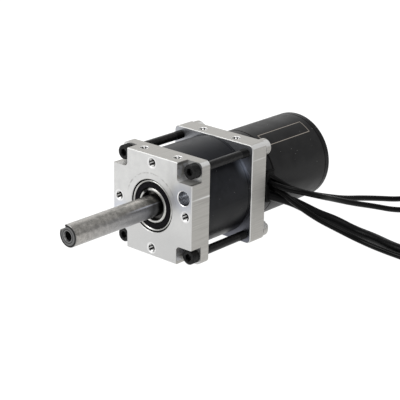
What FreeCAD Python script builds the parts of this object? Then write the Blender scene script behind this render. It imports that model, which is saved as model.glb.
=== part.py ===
"""Brushless gearmotor: outrunner motor on a two-stage planetary gearbox.

Millimetres. The output shaft lies along X and points to +X, +Z is up.
The origin is on the shaft axis, in the front face of the gearbox.
"""

import FreeCAD, Part
import math
import os

os.makedirs("parts", exist_ok=True)

Vector = FreeCAD.Vector
AXIS = Vector(1, 0, 0)
GAP = 0.5                       # play between faces that turn past each other

# ---- gearbox envelope ---------------------------------------------------
PLATE_WIDTH = 60.0
FRONT_PLATE_LENGTH = 15.2
FRONT_FLANGE_LENGTH = 7.0       # full square part of the front plate
REAR_PLATE_LENGTH = 12.7
PLATE_CORNER_RADIUS = 3.0
PLATE_EDGE = 0.4                # small chamfer round both faces of a plate
NOTCH_SIZE = 11.0               # corner cut-outs for the screw heads
NOTCH_FILLET = 2.4
BARREL_RADIUS = 29.8
BARREL_LENGTH = 34.6
END_RING_LENGTH = 1.8
BARREL_EDGE = 0.4

FRONT_BACK_X = -FRONT_PLATE_LENGTH
NOTCH_FLOOR_X = FRONT_BACK_X + FRONT_FLANGE_LENGTH
BARREL_BACK_X = FRONT_BACK_X - BARREL_LENGTH
REAR_FRONT_X = BARREL_BACK_X - END_RING_LENGTH
REAR_BACK_X = REAR_FRONT_X - REAR_PLATE_LENGTH

# ---- fasteners ----------------------------------------------------------
SCREW_OFFSET = 25.1             # corner screws, from the axis in Y and in Z
SCREW_RADIUS = 2.5
SCREW_HEAD_RADIUS = 4.25
SCREW_HEAD_LENGTH = 5.0
SCREW_SOCKET = 4.0              # across flats
SCREW_CLEARANCE_RADIUS = 2.75
SCREW_END_X = -71.5
LUG_RADIUS = 4.9
LUG_LENGTH = 4.3
LUG_EDGE = 0.7

FACE_HOLE_CIRCLE = 25.4         # radius of the circle of four tapped holes
TAPPED_RADIUS = 2.4
TAPPED_DEPTH = 10.0
MOUTH_CHAMFER = 0.35
PLAIN_HOLE_RADIUS = 4.2
PLAIN_HOLE_Y = 24.0
PLAIN_HOLE_Z = 10.3
PLAIN_HOLE_DEPTH = 9.0
BASE_TAPPED_RADIUS = 2.6        # holes underneath, for quarter-inch screws
SIDE_HOLE_SPACING = 25.4
SIDE_HOLE_DEPTH = 8.0
FRONT_SIDE_HOLE_X = -7.2
REAR_SIDE_HOLE_X = -57.2

# ---- output bearings, 17 x 30 x 7 ---------------------------------------
BEARING_BORE_RADIUS = 8.5
BEARING_OUTER_RADIUS = 15.0
BEARING_LENGTH = 7.0
INNER_RACE_RADIUS = 10.2
OUTER_RACE_BORE_RADIUS = 13.7
SEAL_BORE_RADIUS = 10.5
SEAL_RECESS = 0.3
SEAL_LENGTH = 0.7
SEAL_GROOVE_DEPTH = 0.25
BALL_COUNT = 11
BALL_RADIUS = 1.98
BALL_CIRCLE = 11.95
BALL_PLAY = 0.05                # left round a ball in its groove
CAGE_WALL = 0.4
CAGE_RELIEF = 0.5               # between the cage and each race
RACE_CHAMFER = 0.5
BEARING_RECESS = 0.5
BEARING_LIP_RADIUS = 13.0
SEAT_RELIEF_RADIUS = 15.45       # clearance ring round the mouth of the front seat
SEAT_RELIEF_DEPTH = 1.7
FRONT_BEARING_X = -BEARING_RECESS
REAR_BEARING_X = FRONT_BACK_X + BEARING_LENGTH

# ---- output shaft -------------------------------------------------------
SHAFT_RADIUS = 6.35
SHAFT_TIP_X = 64.0
SHAFT_CHAMFER = 0.4
JOURNAL_FRONT_X = -3.0
SHAFT_THREAD_RADIUS = 2.5
SHAFT_THREAD_DEPTH = 16.0
COUNTERSINK_RADIUS = 3.0
KEYWAY_WIDTH = 5.0
KEYWAY_DEPTH = 1.8
KEYWAY_END_X = -4.6
KEYWAY_ANGLE = 135.0            # degrees from +Y towards +Z

# ---- planetary gear train -----------------------------------------------
MODULE = 1.0
PRESSURE_ANGLE = math.radians(20.0)
SUN_TEETH = 15
PLANET_TEETH = 15
RING_TEETH = SUN_TEETH + 2 * PLANET_TEETH
PLANET_COUNT = 3
PLANET_CIRCLE = MODULE * (SUN_TEETH + PLANET_TEETH) / 2
FIRST_PLANET_ANGLE = 90.0
FLANK_PLAY = 0.05               # taken off each flank pair, on the pitch arc
RING_TIP_RADIUS = 21.8          # shortened so that the planets clear it
RING_RELIEF_RADIUS = 24.2       # plain bore beside the ring teeth
PIN_RADIUS = 2.5
PLANET_BORE_RADIUS = 2.55
CARRIER_RADIUS = 21.0
CARRIER_SEAT_RADIUS = 7.5       # stepped end of the shaft in the output carrier
SUN_SEAT_RADIUS = 5.0           # spigot of the second sun in the first carrier
FLANGE_FRONT_X = FRONT_BACK_X - GAP
FLANGE_BACK_X = FLANGE_FRONT_X - 5.0
STAGE_2_FRONT_X = FLANGE_BACK_X - GAP
STAGE_2_BACK_X = STAGE_2_FRONT_X - 9.9
CARRIER_1_FRONT_X = STAGE_2_BACK_X - GAP
CARRIER_1_BACK_X = CARRIER_1_FRONT_X - 4.0
STAGE_1_FRONT_X = CARRIER_1_BACK_X - GAP
STAGE_1_BACK_X = STAGE_1_FRONT_X - 10.0
PIN_STAND_OUT = 0.3

# ---- motor --------------------------------------------------------------
MOTOR_RADIUS = 26.8
BASE_FLANGE_LENGTH = 6.0
BASE_LENGTH = 12.1
BASE_SKIRT_WALL = 3.0
BASE_REGISTER_RADIUS = 12.5
BASE_REGISTER_LENGTH = 3.0
BASE_BACK_X = REAR_BACK_X - BASE_LENGTH
BASE_FLANGE_BACK_X = REAR_BACK_X - BASE_FLANGE_LENGTH
REGISTER_FRONT_X = REAR_BACK_X + BASE_REGISTER_LENGTH
TUBE_RADIUS = 9.5
TUBE_STEP_RADIUS = 11.0
TUBE_BORE_RADIUS = 6.5
TUBE_STEP_X = -78.5
TUBE_BACK_X = -120.0
OPENING_BOTTOM_Z = -10.0
OPENING_TOP_Z = 9.6
OPENING_FRONT_X = -68.6
OPENING_CORNER = 2.6

MOTOR_SCREW_CIRCLE = 19.0
MOTOR_SCREW_RADIUS = 2.0
MOTOR_SCREW_HEAD_RADIUS = 3.5
MOTOR_SCREW_HEAD_LENGTH = 4.0
MOTOR_SCREW_SEAT_X = REAR_FRONT_X - 4.6
MOTOR_SCREW_END_X = BASE_FLANGE_BACK_X + 0.6

BOARD_BACK_X = TUBE_STEP_X - 1.6
HALL_SENSOR_SIZE = (1.5, 3.2, 4.1)      # thick, deep, wide

STATOR_FRONT_X = -84.0
STATOR_BACK_X = -116.0
STATOR_RADIUS = 22.3
STATOR_YOKE_RADIUS = 12.5
STATOR_TEETH = 12
STATOR_TOOTH_WIDTH = 3.4
STATOR_SHOE_LENGTH = 1.6
STATOR_SLOT_OPENING = 2.2
COIL_THICKNESS = 1.6
COIL_OUTER_RADIUS = 20.2
COIL_INNER_RADIUS = 13.0

CAN_FRONT_X = -77.0
CAN_BACK_X = -127.0
CAN_BORE_RADIUS = 25.0
MAGNET_COUNT = 14
MAGNET_INNER_RADIUS = 23.0
MAGNET_FRONT_X = -82.0
MAGNET_BACK_X = -118.0
MAGNET_ARC = 22.0               # degrees covered by one magnet
CAP_BACK_X = -131.8
JOINT_EDGE = 0.25               # chamfers that leave a fine groove at a joint
CAP_SPIGOT_LENGTH = 3.0
CAP_HUB_RADIUS = 9.0
CAP_HUB_FRONT_X = -121.5
CAP_EDGE = 1.2
VENT_COUNT = 6
VENT_INNER_RADIUS = 11.5
VENT_OUTER_RADIUS = 21.5
VENT_ARC = 38.0

MOTOR_SHAFT_RADIUS = 4.0
MOTOR_BEARING_RADIUS = 8.0
MOTOR_BEARING_LENGTH = 5.0
MOTOR_INNER_RACE_RADIUS = 5.4
MOTOR_SHIELD_BORE_RADIUS = 5.7
FRONT_MOTOR_BEARING_X = REGISTER_FRONT_X - 0.7
REAR_MOTOR_BEARING_X = TUBE_BACK_X + MOTOR_BEARING_LENGTH
CIRCLIP_RADIUS = 5.6
CIRCLIP_LENGTH = 0.7
CIRCLIP_GROOVE_RADIUS = 3.6

PINION_HUB_RADIUS = 8.0
PINION_HUB_BACK_X = -57.0
SET_SCREW_RADIUS = 1.5

# ---- leads --------------------------------------------------------------
GROMMET_FACE_Y = 27.2
GROMMET_BACK_Y = 21.0
GROMMET_LIP = 0.8
FLOOR_Z = -PLATE_WIDTH / 2
LEAD_RADIUS = 1.75
SENSOR_CABLE_RADIUS = 3.0
CONNECTOR_RADIUS = 2.4
CONNECTOR_LENGTH = 16.0
CONNECTOR_SLIT = 0.4
SENSOR_PLUG_SIZE = (9.0, 14.0, 6.0)     # along the cable, across, high
PLUG_EDGE = 0.5
PLUG_RIB_HEIGHT = 0.7
PIN_COUNT = 6
PIN_SPACING = 2.0
PIN_WINDOW = 1.1
PIN_WINDOW_DEPTH = 5.0

LEAD_Z = FLOOR_Z + LEAD_RADIUS
CABLE_Z = FLOOR_Z + SENSOR_CABLE_RADIUS
CONNECTOR_Z = FLOOR_Z + CONNECTOR_RADIUS

PHASE_LEAD_ROUTES = {
    "a": [(-72.5, 25.5, 7), (-77.5, 33, 1), (-86.5, 36, -4), (-97, 37.5, -8.5),
          (-112, 40, -13.5), (-128, 41.5, -18.5), (-144.5, 43.5, -22), (-160, 47, -25.5),
          (-173.5, 52.5, LEAD_Z), (-185.5, 57, LEAD_Z), (-197.5, 63, CONNECTOR_Z)],
    "b": [(-71, 25.5, 3), (-71.5, 34.5, 1.5), (-79.5, 44.5, -1), (-92.5, 49, -6),
          (-108, 48.5, -12), (-122.5, 51.5, -17.5), (-137.5, 57, -22), (-151, 63.5, -26.5),
          (-164, 69.5, LEAD_Z), (-177.5, 72, LEAD_Z), (-190.5, 76, CONNECTOR_Z)],
    "c": [(-73, 25.5, -0.5), (-74, 33.5, -1.5), (-77, 43.5, -8.5), (-85, 53, -17),
          (-91.5, 63, -22.5), (-95, 74.5, -26.5), (-95.5, 88, LEAD_Z), (-94, 103, LEAD_Z),
          (-93.5, 118, LEAD_Z), (-94.5, 132.5, LEAD_Z), (-97.5, 146.5, CONNECTOR_Z)],
}
SENSOR_CABLE_ROUTE = [
    (-73, 25.5, -6), (-78.5, 36, -7.5), (-86, 44, -13), (-92.5, 48.5, -17.5),
    (-100, 55.5, -21.5), (-104, 66.5, -26), (-104.5, 80.5, CABLE_Z), (-100.5, 95.5, CABLE_Z),
    (-99.5, 111, CABLE_Z), (-103, 126.5, CABLE_Z), (-108, 141.5, CABLE_Z)]


# ---- building blocks ----------------------------------------------------
def rod(radius, start_x, end_x, y=0.0, z=0.0):
    """Cylinder along X between two stations."""
    back_x = min(start_x, end_x)
    return Part.makeCylinder(radius, abs(end_x - start_x), Vector(back_x, y, z), AXIS)


def tube(outer_radius, inner_radius, start_x, end_x):
    """Plain ring about the axis."""
    return rod(outer_radius, start_x, end_x).cut(rod(inner_radius, start_x, end_x))


def block(x_range, y_range, z_range):
    """Box between two stations on each axis."""
    corner = Vector(min(x_range), min(y_range), min(z_range))
    sizes = [abs(limits[1] - limits[0]) for limits in (x_range, y_range, z_range)]
    return Part.makeBox(sizes[0], sizes[1], sizes[2], corner)


def turned(profile):
    """Solid of revolution about X from (x, radius) corners."""
    points = [Vector(x, radius, 0) for x, radius in profile]
    face = Part.Face(Part.makePolygon(points + points[:1]))
    return face.revolve(Vector(0, 0, 0), AXIS, 360)


def spun(shape, degrees):
    """Copy of a shape turned about the axis."""
    copy = shape.copy()
    copy.rotate(Vector(0, 0, 0), AXIS, degrees)
    return copy


def on_circle(radius, degrees):
    """Y and Z of a point on a circle about the axis."""
    angle = math.radians(degrees)
    return radius * math.cos(angle), radius * math.sin(angle)


def square_plate(front_x, back_x):
    """Square plate with rounded corners and chamfered faces."""
    half = PLATE_WIDTH / 2
    plate = block((back_x, front_x), (-half, half), (-half, half))
    long_edges = [edge for edge in plate.Edges if abs(edge.tangentAt(0).x) > 0.9]
    plate = plate.makeFillet(PLATE_CORNER_RADIUS, long_edges)
    rims = [edge for edge in plate.Edges if edge.BoundBox.XLength < 0.01]
    return plate.makeChamfer(PLATE_EDGE, rims)


def corner_places():
    """Centres of the four corner screws."""
    signs = (-1, 1)
    return [(y * SCREW_OFFSET, z * SCREW_OFFSET) for y in signs for z in signs]


def hole_into_front(radius, depth, y, z):
    """Blind hole from the front face, with a chamfered mouth."""
    hole = rod(radius, 0, -depth, y, z)
    mouth = Part.makeCone(radius, radius + MOUTH_CHAMFER, MOUTH_CHAMFER,
                          Vector(-MOUTH_CHAMFER, y, z), AXIS)
    return hole.fuse(mouth)


def side_holes(x):
    """Two tapped holes in the top side of a plate and two in the bottom."""
    holes = []
    for y in (-SIDE_HOLE_SPACING / 2, SIDE_HOLE_SPACING / 2):
        for up, radius in ((1, TAPPED_RADIUS), (-1, BASE_TAPPED_RADIUS)):
            mouth = Vector(x, y, up * PLATE_WIDTH / 2)
            inward = Vector(0, 0, -up)
            holes.append(Part.makeCylinder(radius, SIDE_HOLE_DEPTH, mouth, inward))
            holes.append(Part.makeCone(radius + MOUTH_CHAMFER, radius,
                                       MOUTH_CHAMFER, mouth, inward))
    return holes


def hexagon_socket(across_flats, depth, mouth_x, y, z):
    """Hexagonal recess that opens towards +X."""
    corner_radius = across_flats / math.sqrt(3)
    corners = []
    for side in range(6):
        angle = math.radians(60 * side + 30)
        corners.append(Vector(mouth_x - depth, y + corner_radius * math.cos(angle),
                              z + corner_radius * math.sin(angle)))
    return Part.Face(Part.makePolygon(corners + corners[:1])).extrude(AXIS * depth)


def socket_screw(seat_x, end_x, radius, head_radius, head_length, across_flats, y, z):
    """Socket-head screw whose head points to +X."""
    front_x = seat_x + head_length
    edge = 0.1 * head_radius
    shank = rod(radius, end_x + edge, seat_x, y, z)
    point = Part.makeCone(radius - edge, radius, edge, Vector(end_x, y, z), AXIS)
    head = rod(head_radius, seat_x, front_x - edge, y, z)
    crown = Part.makeCone(head_radius, head_radius - edge, edge,
                          Vector(front_x - edge, y, z), AXIS)
    screw = head.fuse([crown, shank, point]).removeSplitter()
    return screw.cut(hexagon_socket(across_flats, head_length / 2, front_x, y, z))


def save(name, shape):
    """Write one piece, or one group of separate pieces."""
    shape.exportStep("parts/" + name + ".step")
    print(name, "solids", len(shape.Solids), "volume", round(shape.Volume, 1))


# ---- housing ------------------------------------------------------------
def front_plate():
    """Square front plate: bearing seat, corner notches and mounting holes."""
    half = PLATE_WIDTH / 2
    plate = square_plate(0, FRONT_BACK_X)
    tools = []
    for y, z in corner_places():
        y_side = math.copysign(1, y)
        z_side = math.copysign(1, z)
        inner = half - NOTCH_SIZE
        notch = block((NOTCH_FLOOR_X, 1), (y_side * inner, y_side * (half + 1)),
                      (z_side * inner, z_side * (half + 1)))
        inner_edge = [edge for edge in notch.Edges
                      if abs(edge.CenterOfMass.y - y_side * inner) < 0.01
                      and abs(edge.CenterOfMass.z - z_side * inner) < 0.01]
        tools.append(notch.makeFillet(NOTCH_FILLET, inner_edge))
        tools.append(rod(SCREW_CLEARANCE_RADIUS, FRONT_BACK_X, NOTCH_FLOOR_X, y, z))
    tools.append(turned([(0, 0), (0, SEAT_RELIEF_RADIUS + MOUTH_CHAMFER),
                         (-MOUTH_CHAMFER, SEAT_RELIEF_RADIUS),
                         (-SEAT_RELIEF_DEPTH, SEAT_RELIEF_RADIUS),
                         (-SEAT_RELIEF_DEPTH, BEARING_OUTER_RADIUS),
                         (FRONT_BEARING_X - BEARING_LENGTH, BEARING_OUTER_RADIUS),
                         (FRONT_BEARING_X - BEARING_LENGTH, BEARING_LIP_RADIUS),
                         (REAR_BEARING_X, BEARING_LIP_RADIUS),
                         (REAR_BEARING_X, BEARING_OUTER_RADIUS),
                         (FRONT_BACK_X, BEARING_OUTER_RADIUS), (FRONT_BACK_X, 0)]))
    for turn in range(0, 360, 90):
        y, z = on_circle(FACE_HOLE_CIRCLE, turn)
        tools.append(hole_into_front(TAPPED_RADIUS, TAPPED_DEPTH, y, z))
    for side in (-1, 1):
        tools.append(hole_into_front(PLAIN_HOLE_RADIUS, PLAIN_HOLE_DEPTH,
                                     side * PLAIN_HOLE_Y, side * PLAIN_HOLE_Z))
    tools += side_holes(FRONT_SIDE_HOLE_X)
    return plate.cut(tools)


def corner_lug(y, z):
    """Round lug behind the rear plate, with a rounded end."""
    end_x = REAR_BACK_X - LUG_LENGTH
    lug = rod(LUG_RADIUS, end_x, REAR_BACK_X, y, z)
    rim = [edge for edge in lug.Edges if abs(edge.CenterOfMass.x - end_x) < 0.01]
    return lug.makeFillet(LUG_EDGE, rim)


def rear_plate():
    """Square rear plate: tapped corner lugs and the seat of the motor."""
    plate = square_plate(REAR_FRONT_X, REAR_BACK_X)
    plate = plate.fuse([corner_lug(y, z) for y, z in corner_places()])
    tools = [rod(SCREW_RADIUS, REAR_BACK_X - LUG_LENGTH, REAR_FRONT_X, y, z)
             for y, z in corner_places()]
    tools.append(rod(BASE_REGISTER_RADIUS, REAR_BACK_X, REAR_FRONT_X))
    for quarter in range(4):
        y, z = on_circle(MOTOR_SCREW_CIRCLE, 45 + 90 * quarter)
        tools.append(rod(MOTOR_SCREW_RADIUS + 0.25, REAR_BACK_X, REAR_FRONT_X, y, z))
        tools.append(rod(MOTOR_SCREW_HEAD_RADIUS + 0.25, MOTOR_SCREW_SEAT_X,
                         REAR_FRONT_X, y, z))
    tools += side_holes(REAR_SIDE_HOLE_X)
    return plate.cut(tools)


def ring_gear():
    """Round barrel of the gearbox, with the fixed ring teeth cut inside."""
    barrel = turned([(FRONT_BACK_X, RING_RELIEF_RADIUS),
                     (FRONT_BACK_X, BARREL_RADIUS - BARREL_EDGE),
                     (FRONT_BACK_X - BARREL_EDGE, BARREL_RADIUS),
                     (BARREL_BACK_X + BARREL_EDGE, BARREL_RADIUS),
                     (BARREL_BACK_X, BARREL_RADIUS - BARREL_EDGE),
                     (BARREL_BACK_X, RING_RELIEF_RADIUS)])
    band_front_x = STAGE_2_FRONT_X + PIN_STAND_OUT
    band_back_x = STAGE_1_BACK_X - PIN_STAND_OUT
    band = rod(RING_RELIEF_RADIUS + 0.5, band_back_x, band_front_x)
    space = Part.Face(ring_outline()).extrude(AXIS * (band_front_x - band_back_x))
    space.translate(Vector(band_back_x, 0, 0))
    return barrel.fuse(band.cut(space)).removeSplitter()


def end_ring():
    """Thin plate that closes the gear space and keeps the motor screws in."""
    inner_radius = PINION_HUB_RADIUS + 3.0
    return turned([(BARREL_BACK_X, inner_radius), (BARREL_BACK_X, BARREL_RADIUS),
                   (REAR_FRONT_X, BARREL_RADIUS), (REAR_FRONT_X, inner_radius)])


def gearbox_screws():
    """Four long screws that clamp both plates on the barrel."""
    return Part.makeCompound([
        socket_screw(NOTCH_FLOOR_X, SCREW_END_X, SCREW_RADIUS, SCREW_HEAD_RADIUS,
                     SCREW_HEAD_LENGTH, SCREW_SOCKET, y, z)
        for y, z in corner_places()])


# ---- output bearings ----------------------------------------------------
def race(inner_radius, outer_radius, front_x):
    """Bearing race with chamfered corners and its ball groove."""
    back_x = front_x - BEARING_LENGTH
    groove = Part.makeTorus(BALL_CIRCLE, BALL_RADIUS + BALL_PLAY,
                            Vector(front_x - BEARING_LENGTH / 2, 0, 0), AXIS)
    ring = turned([(front_x, inner_radius + RACE_CHAMFER),
                   (front_x, outer_radius - RACE_CHAMFER),
                   (front_x - RACE_CHAMFER, outer_radius),
                   (back_x + RACE_CHAMFER, outer_radius),
                   (back_x, outer_radius - RACE_CHAMFER),
                   (back_x, inner_radius + RACE_CHAMFER),
                   (back_x + RACE_CHAMFER, inner_radius),
                   (front_x - RACE_CHAMFER, inner_radius)])
    return ring.cut(groove)


def seal(front_x, outward):
    """Rubber seal with a moulded groove in the face that looks outwards."""
    back_x = front_x - outward * SEAL_LENGTH
    groove_x = front_x - outward * SEAL_GROOVE_DEPTH
    width = OUTER_RACE_BORE_RADIUS - SEAL_BORE_RADIUS
    groove_inner = SEAL_BORE_RADIUS + 0.3 * width
    groove_outer = SEAL_BORE_RADIUS + 0.75 * width
    return turned([(front_x, SEAL_BORE_RADIUS), (front_x, groove_inner),
                   (groove_x, groove_inner + SEAL_GROOVE_DEPTH),
                   (groove_x, groove_outer - SEAL_GROOVE_DEPTH),
                   (front_x, groove_outer), (front_x, OUTER_RACE_BORE_RADIUS),
                   (back_x, OUTER_RACE_BORE_RADIUS), (back_x, SEAL_BORE_RADIUS)])


def balls(front_x):
    """Balls of one bearing, free in their grooves."""
    places = [on_circle(BALL_CIRCLE, 360 / BALL_COUNT * number) for number in range(BALL_COUNT)]
    return Part.makeCompound([
        Part.makeSphere(BALL_RADIUS, Vector(front_x - BEARING_LENGTH / 2, y, z))
        for y, z in places])


def cage(front_x):
    """Crown that keeps the balls apart: a ring with open pockets."""
    pocket_radius = BALL_RADIUS + 2 * BALL_PLAY
    middle_x = front_x - BEARING_LENGTH / 2
    crown = tube(OUTER_RACE_BORE_RADIUS - CAGE_RELIEF, INNER_RACE_RADIUS + CAGE_RELIEF,
                 middle_x + pocket_radius + CAGE_WALL, middle_x - 2 * CAGE_WALL)
    pocket = Part.makeCylinder(pocket_radius, OUTER_RACE_BORE_RADIUS,
                               Vector(middle_x, BALL_RADIUS, 0), Vector(0, 1, 0))
    return crown.cut([spun(pocket, 360 / BALL_COUNT * number) for number in range(BALL_COUNT)])


def save_output_bearing(name, front_x):
    """Sealed ball bearing: both races, both seals, the balls and their cage."""
    back_x = front_x - BEARING_LENGTH
    save(name + "_outer_race", race(OUTER_RACE_BORE_RADIUS, BEARING_OUTER_RADIUS, front_x))
    save(name + "_seal", Part.makeCompound([seal(front_x - SEAL_RECESS, 1),
                                            seal(back_x + SEAL_RECESS, -1)]))
    save(name + "_balls", balls(front_x))
    save(name + "_cage", cage(front_x))
    save(name + "_inner_race", race(BEARING_BORE_RADIUS, INNER_RACE_RADIUS, front_x))


# ---- gear teeth ---------------------------------------------------------
def flank_angle(teeth, radius, play):
    """Half the angle of a tooth at a radius, from the involute of its circle."""
    pitch_radius = MODULE * teeth / 2
    base_radius = pitch_radius * math.cos(PRESSURE_ANGLE)
    roll = math.acos(min(1.0, base_radius / radius))
    involute = math.tan(roll) - roll
    pitch_involute = math.tan(PRESSURE_ANGLE) - PRESSURE_ANGLE
    return math.pi / (2 * teeth) - play / (2 * pitch_radius) + pitch_involute - involute


def polar(radius, angle):
    """Point of the gear plane, with the angle in radians from +Y."""
    return Vector(0, radius * math.cos(angle), radius * math.sin(angle))


def flank(teeth, play, centre, side, inner_radius, outer_radius):
    """Arc through three points of the involute on one side of a tooth."""
    middle_radius = (inner_radius + outer_radius) / 2
    points = [polar(radius, centre + side * flank_angle(teeth, radius, play))
              for radius in (inner_radius, middle_radius, outer_radius)]
    return Part.Arc(*points).toShape()


def circle_arc(radius, start_angle, end_angle):
    """Arc of a circle about the axis."""
    middle = (start_angle + end_angle) / 2
    return Part.Arc(polar(radius, start_angle), polar(radius, middle),
                    polar(radius, end_angle)).toShape()


def gear_outline(teeth):
    """Outline of a spur gear with one tooth centred on +Y."""
    pitch_radius = MODULE * teeth / 2
    base_radius = pitch_radius * math.cos(PRESSURE_ANGLE)
    tip_radius = pitch_radius + MODULE
    root_radius = pitch_radius - 1.25 * MODULE
    pitch_angle = 2 * math.pi / teeth
    foot = flank_angle(teeth, base_radius, FLANK_PLAY)
    tip = flank_angle(teeth, tip_radius, FLANK_PLAY)
    edges = []
    for number in range(teeth):
        centre = number * pitch_angle
        edges.append(Part.makeLine(polar(root_radius, centre - foot),
                                   polar(base_radius, centre - foot)))
        edges.append(flank(teeth, FLANK_PLAY, centre, -1, base_radius, tip_radius))
        edges.append(circle_arc(tip_radius, centre - tip, centre + tip))
        edges.append(flank(teeth, FLANK_PLAY, centre, 1, base_radius, tip_radius))
        edges.append(Part.makeLine(polar(base_radius, centre + foot),
                                   polar(root_radius, centre + foot)))
        edges.append(circle_arc(root_radius, centre + foot, centre + pitch_angle - foot))
    return Part.Wire(Part.__sortEdges__(edges))


def ring_outline():
    """Outline of the space inside the ring teeth, one space facing a planet."""
    pitch_radius = MODULE * RING_TEETH / 2
    root_radius = pitch_radius + 1.25 * MODULE
    pitch_angle = 2 * math.pi / RING_TEETH
    tip = flank_angle(RING_TEETH, RING_TIP_RADIUS, -FLANK_PLAY)
    root = flank_angle(RING_TEETH, root_radius, -FLANK_PLAY)
    edges = []
    for number in range(RING_TEETH):
        centre = math.radians(FIRST_PLANET_ANGLE) + number * pitch_angle
        edges.append(flank(RING_TEETH, -FLANK_PLAY, centre, -1, RING_TIP_RADIUS, root_radius))
        edges.append(circle_arc(root_radius, centre - root, centre + root))
        edges.append(flank(RING_TEETH, -FLANK_PLAY, centre, 1, RING_TIP_RADIUS, root_radius))
        edges.append(circle_arc(RING_TIP_RADIUS, centre + tip, centre + pitch_angle - tip))
    return Part.Wire(Part.__sortEdges__(edges))


def gear(teeth, front_x, back_x, tooth_angle):
    """Spur gear blank with one tooth centred on an angle in degrees."""
    blank = Part.Face(gear_outline(teeth)).extrude(AXIS * (front_x - back_x))
    blank.rotate(Vector(0, 0, 0), AXIS, tooth_angle)
    blank.translate(Vector(back_x, 0, 0))
    return blank


def planet_angles():
    """Angles of the planets about the axis."""
    return [FIRST_PLANET_ANGLE + 360 / PLANET_COUNT * number
            for number in range(PLANET_COUNT)]


def save_planets(stage, front_x, back_x, pin_front_x):
    """Three planets, each on its own pin, with a tooth pointing outwards."""
    pins = []
    for number, angle in enumerate(planet_angles(), 1):
        y, z = on_circle(PLANET_CIRCLE, angle)
        planet = gear(PLANET_TEETH, front_x, back_x, angle)
        planet = planet.cut(rod(PLANET_BORE_RADIUS, back_x, front_x))
        planet.translate(Vector(0, y, z))
        save(stage + "_planet_" + str(number), planet)
        pins.append(rod(PIN_RADIUS, back_x - PIN_STAND_OUT, pin_front_x, y, z))
    save(stage + "_planet_pins", Part.makeCompound(pins))


def pin_holes(front_x, back_x):
    """Bores for the planet pins of one carrier."""
    places = [on_circle(PLANET_CIRCLE, angle) for angle in planet_angles()]
    return [rod(PIN_RADIUS, back_x, front_x, y, z) for y, z in places]


def output_shaft():
    """Keyed output shaft, stepped for both bearings and the carrier."""
    shaft = turned([(SHAFT_TIP_X, 0), (SHAFT_TIP_X, SHAFT_RADIUS - SHAFT_CHAMFER),
                    (SHAFT_TIP_X - SHAFT_CHAMFER, SHAFT_RADIUS),
                    (JOURNAL_FRONT_X, SHAFT_RADIUS),
                    (JOURNAL_FRONT_X, BEARING_BORE_RADIUS),
                    (FRONT_BACK_X, BEARING_BORE_RADIUS),
                    (FRONT_BACK_X, CARRIER_SEAT_RADIUS), (FLANGE_BACK_X, CARRIER_SEAT_RADIUS),
                    (FLANGE_BACK_X, 0)])
    thread = turned([(SHAFT_TIP_X, 0), (SHAFT_TIP_X, COUNTERSINK_RADIUS),
                     (SHAFT_TIP_X - 1.2, SHAFT_THREAD_RADIUS),
                     (SHAFT_TIP_X - SHAFT_THREAD_DEPTH, SHAFT_THREAD_RADIUS),
                     (SHAFT_TIP_X - SHAFT_THREAD_DEPTH - 1.4, 0)])
    keyway = block((KEYWAY_END_X, SHAFT_TIP_X),
                   (SHAFT_RADIUS - KEYWAY_DEPTH, BEARING_BORE_RADIUS + 1),
                   (-KEYWAY_WIDTH / 2, KEYWAY_WIDTH / 2))
    return shaft.cut([thread, spun(keyway, KEYWAY_ANGLE)])


def output_carrier():
    """Carrier of the second stage, pressed on the end of the output shaft."""
    disc = turned([(FRONT_BACK_X, CARRIER_SEAT_RADIUS), (FRONT_BACK_X, INNER_RACE_RADIUS),
                   (FLANGE_FRONT_X, INNER_RACE_RADIUS), (FLANGE_FRONT_X, CARRIER_RADIUS),
                   (FLANGE_BACK_X, CARRIER_RADIUS), (FLANGE_BACK_X, CARRIER_SEAT_RADIUS)])
    return disc.cut(pin_holes(FLANGE_FRONT_X, FLANGE_BACK_X))


def carrier_1():
    """First carrier, a disc that holds the first planets and the second sun."""
    disc = tube(CARRIER_RADIUS, SUN_SEAT_RADIUS, CARRIER_1_BACK_X, CARRIER_1_FRONT_X)
    return disc.cut(pin_holes(CARRIER_1_FRONT_X, CARRIER_1_BACK_X))


def stage_2_sun():
    """Second sun gear, pressed in the first carrier by its spigot."""
    teeth = gear(SUN_TEETH, STAGE_2_FRONT_X, CARRIER_1_FRONT_X, FIRST_PLANET_ANGLE)
    return teeth.fuse(rod(SUN_SEAT_RADIUS, CARRIER_1_BACK_X, CARRIER_1_FRONT_X))


def sun_pinion():
    """First sun gear: a pinion whose hub is pinched on the motor shaft."""
    teeth_back_x = STAGE_1_BACK_X - GAP
    teeth = gear(SUN_TEETH, STAGE_1_FRONT_X, teeth_back_x, FIRST_PLANET_ANGLE)
    hub = rod(PINION_HUB_RADIUS, PINION_HUB_BACK_X, teeth_back_x)
    bore = rod(MOTOR_SHAFT_RADIUS, PINION_HUB_BACK_X, STAGE_1_FRONT_X)
    return teeth.fuse(hub).cut([bore, set_screw_hole(PINION_HUB_RADIUS)])


def set_screw_x():
    """Station of the pinion's set screw."""
    return PINION_HUB_BACK_X + 3.5


def set_screw_hole(outer_radius):
    """Radial hole of the set screw, open at the top of the hub."""
    depth = outer_radius - MOTOR_SHAFT_RADIUS
    return Part.makeCylinder(SET_SCREW_RADIUS, depth + 1,
                             Vector(set_screw_x(), 0, MOTOR_SHAFT_RADIUS - 0.5), Vector(0, 0, 1))


def pinion_set_screw():
    """Set screw that bears on the motor shaft."""
    length = PINION_HUB_RADIUS - MOTOR_SHAFT_RADIUS - 0.4
    return Part.makeCylinder(SET_SCREW_RADIUS, length,
                             Vector(set_screw_x(), 0, MOTOR_SHAFT_RADIUS), Vector(0, 0, 1))


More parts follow.
